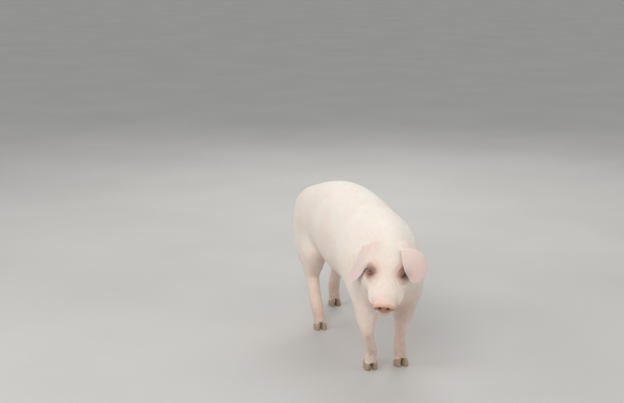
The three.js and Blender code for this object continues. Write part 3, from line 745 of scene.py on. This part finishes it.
def coat_fields(points, normals, owner, ends, nostril, disc):
    """Each place's length of bristle in mm, and how many stand on a square centimetre."""
    table = np.stack([by_piece(owner, HAIR_LENGTH), by_piece(owner, HAIR_DENSITY)], axis=1)
    length, density = spread(table, ends, 160, len(points)).T
    head = to_head(points)
    length += 2 * ease(0.75, 0.98, normals[:, 2]) * on_pieces(owner, "trunk", "neck")
    under = ease(0.3, 0.9, -normals[:, 2]) * ease(120, 200, points[:, 2])
    length -= 5 * under
    density *= 1 - 0.6 * under
    length -= 3.5 * ease(150, 215, -head[:, 1]) * on_pieces(owner, "head", "jaw")
    for side in SIDES.values():
        length -= around(points, eye_centre(side), 3.5, 16, 40)
        density *= ease(14.5, 17, gap_from(points, eye_centre(side)))
    density *= 1 - np.clip(disc * 1.3 + nostril, 0, 1)
    density[points[:, 2] < 12] = 0
    fields = spread(np.stack([length, density], axis=1), ends, 5, len(points))
    return np.maximum(fields[:, 0], 1.5), np.maximum(fields[:, 1], 0)


# ---- bristles ----
FLATNESS = 0.3  # a bristle's thickness for its width
ROOT_DEPTH = 0.4  # how far under the skin a bristle starts
LONG_BRISTLE = 14  # length at which a bristle has its full thickness
LASH_ROWS = ((1, 46, 11), (-1, 20, 6))  # upper and lower lid, how many lashes and how long
LASH_RADIUS = 0.15
PATCH = (0.0014, 0.6)  # a bristle's radius on its bake map, and the share of it that it runs on to its tip
MOST_TRIANGLES = 196000  # in one piece of coat
MIDWAY = 60  # Y between the forelegs and the hindlegs


def spike_template(rings):
    """One upright three-sided spike of unit height and unit base radius, cut across at even heights."""
    bm = bmesh.new()
    raised = Matrix.Translation((0, 0, 0.5))
    bmesh.ops.create_cone(bm, cap_ends=True, segments=3, radius1=1, radius2=0, depth=1, matrix=raised)
    bmesh.ops.remove_doubles(bm, verts=bm.verts, dist=1e-4)
    for ring in range(1, rings):
        cut_level(bm, ring / rings)
    bmesh.ops.triangulate(bm, faces=bm.faces[:])
    bmesh.ops.recalc_face_normals(bm, faces=bm.faces[:])
    corners = np.array([v.co for v in bm.verts])
    faces = np.array([[v.index for v in f.verts] for f in bm.faces])
    bm.free()
    return corners, faces


def mesh_from_arrays(name, points, triangles):
    mesh = bpy.data.meshes.new(name)
    mesh.vertices.add(len(points))
    mesh.vertices.foreach_set("co", (points * MM).astype(np.float32).ravel())
    mesh.loops.add(triangles.size)
    mesh.loops.foreach_set("vertex_index", triangles.astype(np.int32).ravel())
    mesh.polygons.add(len(triangles))
    mesh.polygons.foreach_set("loop_start", np.arange(0, triangles.size, 3, dtype=np.int32))
    shade_smooth(mesh)
    mesh.update(calc_edges=True)
    return mesh


def strands(name, template, growth, some=slice(None)):
    """Joins one bent, flattened spike for each root: it leaves along start and ends along end."""
    roots, normals, start, end = (growth[key][some] for key in ("root", "normal", "start", "end"))
    lengths, widths, spots = (growth[key][some] for key in ("length", "width", "spot"))
    corners, faces = template
    count = len(roots)
    t = corners[:, 2]
    way = unit(start[:, None] * (1 - t)[None, :, None] + end[:, None] * t[None, :, None])
    run = start[:, None] * (t - t * t / 2)[None, :, None] + end[:, None] * (t * t / 2)[None, :, None]
    across = unit(np.cross(normals[:, None], way))
    over = np.cross(way, across)
    points = roots[:, None] + run * lengths[:, None, None]
    points += across * (corners[:, 0][None] * widths[:, None])[..., None]
    points += over * (FLATNESS * corners[:, 1][None] * widths[:, None])[..., None]
    triangles = faces[None] + (np.arange(count) * len(corners))[:, None, None]
    mesh = mesh_from_arrays(name, points.reshape(-1, 3), triangles.reshape(-1, 3))
    for key, values in growth["fields"].items():
        write_field(mesh, key, np.repeat(values[some], len(corners)))
    layer = mesh.uv_layers.new(name="OFBake")
    patch = PATCH[0] * np.stack([corners[:, 0], corners[:, 1] + PATCH[1] * t], axis=1)
    place = np.clip(spots[:, None] + patch[None], 0, 1)[:, faces].reshape(-1, 2)
    layer.uv.foreach_set("vector", place.astype(np.float32).ravel())
    return new_object(name, mesh)


def unwrapped(mesh):
    """An unwrap of the skin's own shape: a place on it for each triangle's three corners."""
    copy = new_object("unwrap", mesh.copy())
    bpy.ops.object.select_all(action="DESELECT")
    bpy.context.view_layer.objects.active = copy
    copy.select_set(True)
    bpy.ops.object.mode_set(mode="EDIT")
    bpy.ops.mesh.select_all(action="SELECT")
    bpy.ops.uv.smart_project(angle_limit=math.radians(66), island_margin=0.001)
    bpy.ops.object.mode_set(mode="OBJECT")
    layer = copy.data.uv_layers.active
    place = np.empty(len(copy.data.loops) * 2, np.float32)
    layer.uv.foreach_get("vector", place)
    flat = copy.data
    bpy.data.objects.remove(copy)
    bpy.data.meshes.remove(flat)
    return place.reshape(-1, 3, 2).astype(float)


class Hide:
    """The finished skin as arrays, with places chosen on it for bristles to stand at."""

    FIELDS = ("blush", "umber", "lilac", "grime")

    def __init__(self, mesh, seed):
        self.rng = np.random.default_rng(seed)
        self.points, self.triangles = points_of(mesh), triangles_of(mesh)
        self.normals = normals_of(self.points, self.triangles)
        self.unwrap = unwrapped(mesh)
        self.fields = {key: read_field(mesh, key) for key in self.FIELDS}
        self.lie = np.stack([read_field(mesh, f"hair_{axis}") for axis in "xyz"], axis=1)
        self.length, self.density = (read_field(mesh, f"hair_{key}") for key in ("length", "density"))
        self.piece = read_field(mesh, "piece").round().astype(int)
        self.tree = BVHTree.FromPolygons(self.points.tolist(), self.triangles.tolist())
        a, b, c = (self.points[self.triangles[:, k]] for k in range(3))
        self.area = np.linalg.norm(np.cross(b - a, c - a), axis=1) / 200  # square centimetres

    def on(self, *names):
        return on_pieces(self.piece, *names)

    def lay(self, growth, least):
        """Turns each bristle so that its tip keeps its height over the skin, however the skin curves."""
        root, length = growth["root"], growth["length"][:, None]
        reach = (growth["start"] + growth["end"]) / 2 * length
        height = np.maximum((reach * growth["normal"]).sum(1), least)[:, None]
        found = [self.tree.find_nearest(p) for p in (root + reach).tolist()]
        foot, facing = (np.array([f[k] for f in found]) for k in (0, 1))
        growth["end"] = 2 * (foot + facing * height - root) / length - growth["start"]
        return growth

    def scatter(self, density, spread_angle=0.16):
        """Roots at random, as thick as a density on each vertex, and the way each one lies."""
        wanted = self.area * density[self.triangles].mean(1)
        count = int(wanted.sum())
        chosen = self.rng.choice(len(wanted), count, p=wanted / wanted.sum())
        u, v = self.rng.random((2, count))
        u, v = np.where(u + v > 1, (1 - u, 1 - v), (u, v))
        share = np.stack([1 - u - v, u, v], axis=1)
        corner = self.triangles[chosen]

        def at(values):
            return (values[corner] * share.reshape(count, 3, *[1] * (values.ndim - 1))).sum(1)

        normal = unit(at(self.normals))
        lie = unit(at(self.lie) + spread_angle * self.rng.normal(size=(count, 3)))
        lie = unit(lie - normal * (lie * normal).sum(1)[:, None])
        return {
            "root": at(self.points) - normal * ROOT_DEPTH,
            "normal": normal,
            "lie": lie,
            "length": at(self.length) * self.rng.uniform(0.6, 1.25, count),
            "spot": (self.unwrap[chosen] * share[:, :, None]).sum(1),
            "fields": {key: at(values) for key, values in self.fields.items()},
            "piece": self.piece[corner[:, 0]],
        }

    def grow(self, growth, lift, settle, thickness, paleness):
        """Gives each root its angles, thickness and paleness."""
        count = len(growth["root"])
        lie, normal = growth["lie"], growth["normal"]
        lift = lift * self.rng.uniform(0.5, 1.4, count)[:, None]
        growth["start"] = unit(lie * np.cos(lift) + normal * np.sin(lift))
        last = settle + 0.08 * self.rng.normal(size=(count, 1))
        growth["end"] = unit(lie * np.cos(last) + normal * np.sin(last))
        growth["width"] = thickness / MM * self.rng.uniform(0.75, 1.25, count)
        # Bristles are less pale where shade is painted on the skin.
        pale = paleness + 0.1 * self.rng.normal(size=count) - 0.35 * growth["fields"]["umber"]
        growth["fields"]["paleness"] = np.clip(pale, 0, 1)
        return growth


def lash_growth(hide):
    """Rows of lashes along the upper lids, and a few along the lower ones."""
    rows = []
    for side in SIDES.values():
        centre, gaze, nose, up = eye_axes(side)
        for way, count, length in LASH_ROWS:
            tall = EYE_OPENING[1] * (UPPER_ARCH if way > 0 else LOWER_ARCH)
            x = np.linspace(-0.86, 0.8, count) + hide.rng.uniform(-0.02, 0.02, count)
            arch = np.maximum(1 - np.abs(x) ** LID_POWERS[0], 0) ** (1 / LID_POWERS[1])
            y = way * tall * arch * 1.1
            x = x * EYE_OPENING[0]
            ahead = np.sqrt(LID_RADIUS**2 - x**2 - y**2)[:, None]
            out = unit(nose * x[:, None] + up * y[:, None] + gaze * ahead)
            root = centre + out * (LID_RADIUS - 0.4)
            lean = nose * (x[:, None] / EYE_OPENING[0]) * 0.5 + up * way * 0.35
            start = unit(gaze + lean + 0.06 * hide.rng.normal(size=(count, 3)))
            end = unit(start * 0.4 + up * way * 0.9 + lean)
            near = [hide.tree.find_nearest(p)[2] for p in root.tolist()]
            rows.append(
                {
                    "root": root,
                    "normal": out,
                    "start": start,
                    "end": end,
                    "length": length * hide.rng.uniform(0.7, 1.1, count),
                    "width": np.full(count, LASH_RADIUS),
                    "spot": hide.unwrap[near].mean(1),
                }
            )
    growth = {key: np.concatenate([row[key] for row in rows]) for key in rows[0]}
    count = len(growth["root"])
    growth["fields"] = {key: np.zeros(count) for key in Hide.FIELDS}
    growth["fields"]["paleness"] = np.full(count, 0.9)
    return growth


# ---- shader maths ----
class Shade:
    """A shader socket that takes part in sums, and adds any other node beside itself."""

    def __init__(self, tree, socket=None):
        self.tree, self.socket = tree, socket

    def add(self, kind, settings=None, sockets=None, outlet=0):
        node = self.tree.nodes.new(kind)
        for key, value in (settings or {}).items():
            if key == "stops":
                ramp = node.color_ramp.elements
                while len(ramp) < len(value):
                    ramp.new(0.5)
                for stop, (place, level) in zip(ramp, value):
                    stop.position = place
                    stop.color = (level, level, level, 1)
            else:
                setattr(node, key, value)
        connect(self.tree, node.inputs, sockets or {})
        return Shade(self.tree, node.outputs[outlet])

    def _sum(self, operation, first, second):
        return self.add("ShaderNodeMath", {"operation": operation}, {0: first, 1: second})

    def __add__(self, other):
        return self._sum("ADD", self, other)

    def __radd__(self, other):
        return self._sum("ADD", other, self)

    def __sub__(self, other):
        return self._sum("SUBTRACT", self, other)

    def __rsub__(self, other):
        return self._sum("SUBTRACT", other, self)

    def __mul__(self, other):
        return self._sum("MULTIPLY", self, other)

    def __rmul__(self, other):
        return self._sum("MULTIPLY", other, self)

    def clamped(self):
        return self.add("ShaderNodeClamp", None, {"Value": self})

    def step(self, low, high):
        return self.add(
            "ShaderNodeMapRange",
            {"interpolation_type": "SMOOTHSTEP"},
            {"Value": self, "From Min": low, "From Max": high},
        )

    def mix(self, first, second):
        """A colour between two, by this share."""
        return self.add("ShaderNodeMix", {"data_type": "RGBA"}, {0: self, 6: first, 7: second}, 2)


def connect(tree, inputs, values):
    """Links each of a node's inputs to a shade, or sets it to a plain value."""
    for key, value in values.items():
        if isinstance(value, Shade):
            tree.links.new(value.socket, inputs[key])
        else:
            inputs[key].default_value = value


def new_material(name):
    material = bpy.data.materials.new(name)
    material.use_nodes = True
    tree = material.node_tree
    return material, Shade(tree), tree.nodes["Principled BSDF"].inputs


def colour4(value):
    return (*value[:3], 1)


def field(shade, name):
    return shade.add("ShaderNodeAttribute", {"attribute_name": name}, None, "Fac")


def place_of(shade):
    return shade.add("ShaderNodeTexCoord", None, None, "Object")


def noise_at(shade, place, scale, detail=3.0, stretch=None):
    if stretch:
        place = shade.add("ShaderNodeMapping", None, {"Vector": place, "Scale": stretch})
    return shade.add(
        "ShaderNodeTexNoise", None, {"Vector": place, "Scale": scale, "Detail": detail}, "Fac"
    )


def hide_colour(shade, look):
    """The colour of skin and coat alike, from the fields written on them."""
    place = place_of(shade)
    cloud, mottle, speck = (noise_at(shade, place, scale) for scale in (9.0, 60.0, 420.0))
    blush = (field(shade, "blush") + (cloud - 0.5) * 0.5 + (mottle - 0.5) * 0.28).clamped()
    colour = blush.mix(colour4(look.cream), colour4(look.pink))
    colour = field(shade, "lilac").mix(colour, colour4(look.lilac))
    # Painted shade: brown in the eye sockets, nostrils, mouth's groove, on the disc's face and at the ear
    # roots.
    umber = (field(shade, "umber") * (0.7 + mottle * 0.7)).clamped()
    colour = umber.mix(colour, colour4(look.umber))
    patches = (cloud * 0.6 + mottle * 0.4).step(0.36, 0.62)
    dust = (field(shade, "grime") * (0.25 + patches * 0.75) * (0.55 + speck * 0.6)).clamped()
    return (dust * 0.8).mix(colour, colour4(look.dust)), mottle, speck


def skin_material(look):
    material, shade, inputs = new_material("pig skin")
    colour, mottle, speck = hide_colour(shade, look)
    place = place_of(shade)
    pores = shade.add(
        "ShaderNodeTexVoronoi", {"feature": "F1"}, {"Vector": place, "Scale": 330.0}, "Distance"
    )
    lines = noise_at(shade, place, 60.0, 4.0, (5.0, 1.0, 4.0))
    creases = noise_at(shade, place, 130.0, 5.0)
    height = pores * 0.35 + lines * 0.8 + creases * 0.7 + speck * 0.25
    normal = shade.add("ShaderNodeBump", None, {"Strength": 0.42, "Distance": 0.0011, "Height": height})
    rough = (0.62 - field(shade, "wet") * 0.28 + (mottle - 0.5) * 0.16).clamped()
    surface = {
        "Base Color": colour,
        "Roughness": rough,
        "Normal": normal,
        "Subsurface Weight": 0.28,
        "Subsurface Radius": (1.0, 0.34, 0.18),
        "Subsurface Scale": 0.008,
        "Sheen Weight": 0.12,
        "Sheen Roughness": 0.5,
    }
    connect(shade.tree, inputs, surface)
    return material


def bristle_material(look):
    material, shade, inputs = new_material("bristles")
    colour = hide_colour(shade, look)[0]
    pale = field(shade, "paleness").mix(colour, colour4(look.bristle))
    connect(shade.tree, inputs, {"Base Color": pale, "Roughness": 0.42})
    return material


def horn_material(look):
    material, shade, inputs = new_material("claw horn")
    place = place_of(shade)
    streak = noise_at(shade, place, 90.0, 4.0, (6.0, 6.0, 0.7))
    rings = noise_at(shade, place, 40.0, 3.0, (0.5, 0.5, 7.0))
    cloud = noise_at(shade, place, 35.0)
    tip = shade.add("ShaderNodeSeparateXYZ", None, {"Vector": place}, "Z").step(0.030, 0.004)
    colour = (streak * 0.7 + cloud * 0.5 - 0.1).clamped().mix(colour4(look.horn), colour4(look.horn_dark))
    colour = (tip * 0.45 * (0.4 + cloud)).clamped().mix(colour, colour4(look.dust))
    height = streak * 0.6 + rings * 0.9
    normal = shade.add("ShaderNodeBump", None, {"Strength": 0.5, "Distance": 0.0007, "Height": height})
    rough = (0.42 + cloud * 0.3 + tip * 0.12).clamped()
    connect(shade.tree, inputs, {"Base Color": colour, "Roughness": rough, "Normal": normal})
    return material


IRIS_RIM = (0.006, 0.004, 0.003, 1)
PUPIL = (0.002, 0.002, 0.002, 1)


def eye_material(look):
    material, shade, inputs = new_material("eye")
    angle = field(shade, "angle")
    place = place_of(shade)
    fibres = noise_at(shade, place, 900.0, 4.0)
    iris = (fibres * 0.8 + (1 - angle.step(14, 34)) * 0.5).clamped()
    iris = iris.mix(colour4(look.iris_dark), colour4(look.iris))
    white = angle.step(36, 41).mix(iris, colour4(look.eye_white))
    rim = (angle.step(31, 37) * (1 - angle.step(38, 43))).mix(white, IRIS_RIM)
    colour = (1 - angle.step(14, 17)).mix(rim, PUPIL)
    surface = {"Base Color": colour, "Roughness": 0.08, "Coat Weight": 1.0, "Coat Roughness": 0.02}
    connect(shade.tree, inputs, surface)
    return material


# ---- settings that a user would change ----
def colour_setting(name, description, default):
    return FloatVectorProperty(
        name=name, description=description, default=default, subtype="COLOR", min=0, max=1
    )


def number_setting(name, description, default, low, high, unit="NONE"):
    return FloatProperty(
        name=name, description=description, default=default, min=low, max=high, unit=unit
    )


class PigLook(bpy.types.PropertyGroup):
    """Colours of skin, coat, claws and eyes"""

    cream: colour_setting("Cream", "Palest skin, on the back", (0.82, 0.757, 0.675))
    pink: colour_setting("Pink", "Bare and thin skin", (0.70, 0.375, 0.265))
    lilac: colour_setting("Lilac", "The backs of the ears", (0.69, 0.51, 0.48))
    # Colour of the shade painted in the eye sockets, nostrils, mouth, disc and ear roots.
    umber: colour_setting("Painted shade", "Round the eyes and in the nostrils", (0.17, 0.05, 0.028))
    dust: colour_setting("Dust", "Dried dust from the floor", (0.30, 0.20, 0.11))
    bristle: colour_setting("Bristle", "Bristles and lashes", (0.93, 0.90, 0.84))
    horn: colour_setting("Horn", "Pale horn of the claws", (0.52, 0.40, 0.28))
    horn_dark: colour_setting("Dark horn", "Streaks in the claws", (0.25, 0.165, 0.10))
    iris: colour_setting("Iris", "The iris's lighter fibres", (0.11, 0.055, 0.025))
    iris_dark: colour_setting("Dark iris", "The iris's darker fibres", (0.03, 0.014, 0.007))
    eye_white: colour_setting("Eye white", "The white of the eye", (0.34, 0.24, 0.20))


class PigCoat(bpy.types.PropertyGroup):
    """Sizes of the coat"""

    length: number_setting("Length", "Scale of every bristle's length", 1.0, 0.2, 3)
    density: number_setting("Density", "Scale of the number of bristles", 1.0, 0.1, 2)
    thickness: number_setting(
        "Thickness", "Radius of a long bristle at its root", 0.00016, 0.00005, 0.001, "LENGTH"
    )
    lift: number_setting(
        "Lift",
        "Angle at which a bristle leaves the skin",
        math.radians(11),
        0,
        math.radians(80),
        "ROTATION",
    )
    seed: IntProperty(name="Seed", description="Start of the random numbers", default=7)


class PigSettings(bpy.types.PropertyGroup):
    """All settings of the pig"""

    look: PointerProperty(type=PigLook)
    coat: PointerProperty(type=PigCoat)
    voxel: number_setting(
        "Skin step", "Size of the grid that joins the flesh into one skin", 0.0022, 0.0015, 0.01, "LENGTH"
    )
    triangles: IntProperty(
        name="Skin triangles",
        description="Triangles left before the eyes, snout and teats are refined",
        default=142000,
        min=20000,
        max=180000,
    )


# ---- operators ----
class PIG_OT_skin(bpy.types.Operator):
    """Makes the one skin over all the flesh, with its folds, lids, nostrils and lips"""

    bl_idname = "pig.skin"
    bl_label = "Skin"

    def execute(self, context):
        settings = context.scene.pig
        obj = remeshed_flesh(settings.voxel)
        keep_largest(obj)
        flesh = FleshMap()
        smooth_skin(obj, flesh)
        thin_out(obj, flesh, settings.triangles)
        points = points_of(obj.data)
        tree = BVHTree.FromPolygons(points.tolist(), triangles_of(obj.data).tolist())
        teats = teat_places(tree)
        for reach in (15, 11):
            refine(obj, self.near_teats(points_of(obj.data), teats, reach))
        for eye_reach, snout_reach in ((26, 46), (17.5, 0)):
            refine(obj, self.near_features(points_of(obj.data), eye_reach, snout_reach))
        mesh = obj.data
        points = points_of(mesh)
        triangles = triangles_of(mesh)
        normals = normals_of(points, triangles)
        ends = edges_of(mesh)
        owner = flesh.nearest(points)[1]
        still = spread(on_pieces(owner, *EAR_WAYS).astype(float), ends, 4, len(points))[:, None]
        before = points.copy()
        loosen(points, normals, 0.6)
        fold_skin(points, normals, tree)
        raise_teats(points, normals, teats)
        mouth = part_lips(points, normals)
        nostril = shape_snout(points)
        for side in SIDES.values():
            shape_lids(points, side)
        points = points * (1 - still) + before * still
        set_points(mesh, points)
        shade_smooth(mesh)
        mesh.update()
        normals = normals_of(points, triangles)
        fields = colour_fields(points, normals, owner, ends, nostril, mouth)
        length, density = coat_fields(points, normals, owner, ends, nostril, fields["wet"])
        lie = lie_of_coat(points, normals, owner, ends)
        for name, values in {
            **fields,
            "hair_length": length,
            "hair_density": density,
            "hair_x": lie[:, 0],
            "hair_y": lie[:, 1],
            "hair_z": lie[:, 2],
            "piece": owner,
        }.items():
            write_field(mesh, name, values)
        mesh.materials.append(skin_material(settings.look))
        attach(obj, "root")
        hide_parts(*FLESH)
        return {"FINISHED"}

    @staticmethod
    def near_teats(points, teats, reach):
        wanted = np.zeros(len(points), bool)
        for place in teats:
            wanted |= gap_from(points, place) < reach
        return wanted

    @staticmethod
    def near_features(points, eye_reach, snout_reach):
        wanted = np.zeros(len(points), bool)
        for side in SIDES.values():
            wanted |= gap_from(points, eye_centre(side)) < eye_reach
        if snout_reach:
            place, _ = disc_frame(points)
            wanted |= (np.linalg.norm(place, axis=1) < snout_reach) & (place[:, 1] < 12)
            _, y, z = to_head(points).T
            wanted |= (np.abs(z - mouth_line(y)) < 7) & (y < -128) & (y > -242)
        return wanted


class PIG_OT_eyes(bpy.types.Operator):
    """Makes both eyeballs, each with its cornea, iris and pupil"""

    bl_idname = "pig.eyes"
    bl_label = "Eyes"

    def execute(self, context):
        material = eye_material(context.scene.pig.look)
        for name, side in SIDES.items():
            centre, gaze, _, _ = eye_axes(side)
            bm = bmesh.new()
            bmesh.ops.create_uvsphere(bm, u_segments=48, v_segments=32, radius=EYE_RADIUS * MM)
            turn = Vector(gaze).to_track_quat("Z", "Y").to_matrix().to_4x4()
            mesh = mesh_of(bm, f"eyeball_{name}")
            points = points_of(mesh)
            angle = np.degrees(np.arccos(np.clip(points[:, 2] / EYE_RADIUS, -1, 1)))
            points *= (1 + 0.065 * (1 - ease(20, 44, angle)))[:, None]
            write_field(mesh, "angle", angle)
            shade_smooth(mesh)
            set_points(mesh, points)
            mesh.transform(Matrix.Translation(centre * MM) @ turn)
            mesh.materials.append(material)
            obj = new_object(f"eyeball_{name}", mesh)
            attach(obj, "root")
            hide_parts(f"eye_{name}")
        return {"FINISHED"}


CLAW_ROUNDING = 2.4  # radius of a claw's rims
SOLE_DEPTH = 5  # height up to which a claw keeps its flat sole


class PIG_OT_claws(bpy.types.Operator):
    """Makes the claws and dewclaws of every foot, with rounded rims"""

    bl_idname = "pig.claws"
    bl_label = "Claws"

    def execute(self, context):
        material = horn_material(context.scene.pig.look)
        for leg in LEGS:
            nodes = [f"{leg}_{kind}_{side}" for kind in ("claw", "dewclaw") for side in ("outer", "inner")]
            bm = bmesh.new()
            for node in nodes:
                bm.from_mesh(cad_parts[node].data)
            bmesh.ops.remove_doubles(bm, verts=bm.verts, dist=WELD)
            flat = [e for e in bm.edges if len(e.link_faces) == 2 and e.calc_face_angle() < FLAT]
            bmesh.ops.dissolve_edges(bm, edges=flat, use_verts=False)
            rims = [e for e in bm.edges if len(e.link_faces) == 2 and e.calc_face_angle() > SHARP]
            bmesh.ops.bevel(
                bm,
                geom=rims,
                offset=CLAW_ROUNDING * MM,
                segments=2,
                profile=0.5,
                affect="EDGES",
                material=-1,
                clamp_overlap=True,
            )
            bmesh.ops.triangulate(bm, faces=[f for f in bm.faces if len(f.verts) > 4])
            bmesh.ops.subdivide_edges(bm, edges=bm.edges[:], cuts=2, use_grid_fill=True)
            bmesh.ops.smooth_vert(
                bm,
                verts=[v for v in bm.verts if v.co.z > SOLE_DEPTH * MM],
                factor=0.5,
                use_axis_x=True,
                use_axis_y=True,
                use_axis_z=True,
            )
            bmesh.ops.triangulate(bm, faces=bm.faces[:])
            mesh = mesh_of(bm, f"claws_{leg}")
            shade_smooth(mesh)
            mesh.materials.append(material)
            obj = new_object(f"claws_{leg}", mesh)
            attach(obj, "root")
            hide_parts(*nodes)
        return {"FINISHED"}


class PIG_OT_coat(bpy.types.Operator):
    """Grows the bristles over the skin, lying back along the body, with whiskers, lashes and a tail tuft"""

    bl_idname = "pig.coat"
    bl_label = "Coat"

    def execute(self, context):
        settings = context.scene.pig.coat
        self.material = bristle_material(context.scene.pig.look)
        hide = Hide(bpy.data.objects["pig_skin"].data, settings.seed)
        growth = hide.scatter(hide.density * settings.density)
        growth["length"] *= settings.length
        hide.grow(growth, settings.lift, 0.02, settings.thickness, 0.6)
        hide.lay(growth, 0.35)
        growth["width"] *= np.clip(growth["length"] / LONG_BRISTLE, 0.5, 1.15)
        names = np.array(FLESH)[growth["piece"]]
        right = growth["root"][:, 0] < 0
        group = np.where(right, "body_right", "body_left").astype(object)
        legs = np.char.find(names, "leg") >= 0
        group[legs & (growth["root"][:, 1] < MIDWAY)] = "forelegs"
        group[legs & (growth["root"][:, 1] >= MIDWAY)] = "hindlegs"
        group[np.isin(names, ("head", "jaw", "snout", "ear_left", "ear_right"))] = "head"
        template = spike_template(1)
        most = MOST_TRIANGLES // len(template[1])
        for name in ("body_left", "body_right", "forelegs", "hindlegs", "head"):
            members = np.nonzero(group == name)[0]
            parts = -(-len(members) // most)
            for part in range(parts):
                self.place(strands(f"coat_{name}_{part + 1}", template, growth, members[part::parts]))
        fine = spike_template(3)
        self.place(strands("lashes", fine, lash_growth(hide)))
        self.place(strands("whiskers", fine, self.whiskers(hide, settings)))
        self.place(strands("tail_tuft", fine, self.tail_tuft(hide, settings)))
        return {"FINISHED"}

    def place(self, obj):
        obj.data.materials.append(self.material)
        obj.visible_shadow = False  # light passes through bristles as fine as these
        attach(obj, "root")

    @staticmethod
    def whiskers(hide, settings):
        head = to_head(hide.points)
        low = ease(50, 80, -head[:, 2]) * ease(110, 170, -head[:, 1])
        muzzle = ease(150, 200, -head[:, 1]) * (hide.density > 6)
        growth = hide.scatter(hide.on("jaw", "head", "snout") * (0.7 * low + 0.35 * muzzle), 0.35)
        growth["length"] = hide.rng.uniform(12, 26, len(growth["root"])) * settings.length
        return hide.grow(growth, math.radians(48), 0.35, settings.thickness * 1.2, 0.85)

    @staticmethod
    def tail_tuft(hide, settings):
        tip = hide.on("tail_tip") * around(hide.points - ORIGIN_SHIFT, TAIL_END, *TAIL_TUFT)
        growth = hide.scatter(tip, 0.12)
        growth["length"] = hide.rng.uniform(12, 24, len(growth["root"])) * settings.length
        return hide.grow(growth, math.radians(12), 0.06, settings.thickness, 0.8)


CAMERA_PLACE = (-1455.2, -4132.4, 1570.3)
CAMERA_DIP = 12.6  # degrees that the camera looks down
CAMERA_TURN = -17  # degrees from looking along +Y
SENSOR = 36
FOCAL_RATIO = 1150 / 624  # focal length for the picture's width
FLOOR_RADIUS = 60  # in metres, as the places and sizes of the lights
LAMP_AIM = (0, 0, 0.35)
LAMPS = (  # name, place, size and power
    ("key", (-2.2, -3.0, 3.5), 2.3, 100),
    ("side", (-3.7, 0.2, 1.9), 2.8, 36),
    ("fill", (3.4, -2.8, 1.8), 3.0, 30),
    ("back", (1.2, 3.2, 3.2), 2.2, 62),
)


class PIG_OT_stage(bpy.types.Operator):
    """Sets the floor, lights and camera"""

    bl_idname = "pig.stage"
    bl_label = "Stage"

    def execute(self, context):
        scene = context.scene
        bm = bmesh.new()
        bmesh.ops.create_circle(bm, cap_ends=True, segments=64, radius=FLOOR_RADIUS)
        floor = new_object("floor", mesh_of(bm, "floor"))
        material, shade, inputs = new_material("floor")
        cloud = noise_at(shade, place_of(shade), 1.3).step(0.2, 0.8)
        colour = cloud.mix((0.50, 0.485, 0.46, 1), (0.54, 0.525, 0.50, 1))
        connect(shade.tree, inputs, {"Base Color": colour, "Roughness": 0.9})
        floor.data.materials.append(material)
        camera = bpy.data.objects.new("camera", bpy.data.cameras.new("camera"))
        scene.collection.objects.link(camera)
        camera.data.lens = FOCAL_RATIO * SENSOR
        camera.data.sensor_width = SENSOR
        camera.data.clip_end = 300
        camera.location = Vector(CAMERA_PLACE) * MM + Vector(ORIGIN_SHIFT * MM)
        camera.rotation_euler = (math.radians(90 - CAMERA_DIP), 0, math.radians(CAMERA_TURN))
        scene.camera = camera
        world = bpy.data.worlds.new("studio")
        world.use_nodes = True
        sky = world.node_tree.nodes["Background"].inputs
        connect(world.node_tree, sky, {"Color": (0.95, 0.97, 1.0, 1), "Strength": 0.55})
        scene.world = world
        for name, place, size, power in LAMPS:
            light = bpy.data.lights.new(name, "AREA")
            light.size = size
            light.energy = power
            lamp = bpy.data.objects.new(name, light)
            lamp.location = place
            lamp.rotation_mode = "QUATERNION"
            lamp.rotation_quaternion = (Vector(place) - Vector(LAMP_AIM)).to_track_quat("Z", "Y")
            scene.collection.objects.link(lamp)
        scene.view_settings.view_transform = "Standard"
        return {"FINISHED"}


class PIG_PT_panel(bpy.types.Panel):
    """Lists the pig's pieces and settings"""

    bl_label = "Pig"
    bl_space_type = "VIEW_3D"
    bl_region_type = "UI"
    bl_category = "Pig"

    def draw(self, context):
        settings = context.scene.pig
        for made in OPERATORS:
            self.layout.operator(made.bl_idname)
        for group in (settings, settings.coat, settings.look):
            for name in group.__annotations__:
                if name not in ("look", "coat"):
                    self.layout.prop(group, name)


OPERATORS = (PIG_OT_skin, PIG_OT_eyes, PIG_OT_claws, PIG_OT_coat, PIG_OT_stage)
CLASSES = (PigLook, PigCoat, PigSettings, *OPERATORS, PIG_PT_panel)


def register():
    for made in CLASSES:
        bpy.utils.register_class(made)
    bpy.types.Scene.pig = PointerProperty(type=PigSettings)


def unregister():
    del bpy.types.Scene.pig
    for made in reversed(CLASSES):
        bpy.utils.unregister_class(made)


def main():
    register()
    bpy.ops.pig.skin()
    bpy.ops.pig.eyes()
    bpy.ops.pig.claws()
    bpy.ops.pig.coat()
    bpy.ops.pig.stage()


if __name__ == "__main__":
    main()
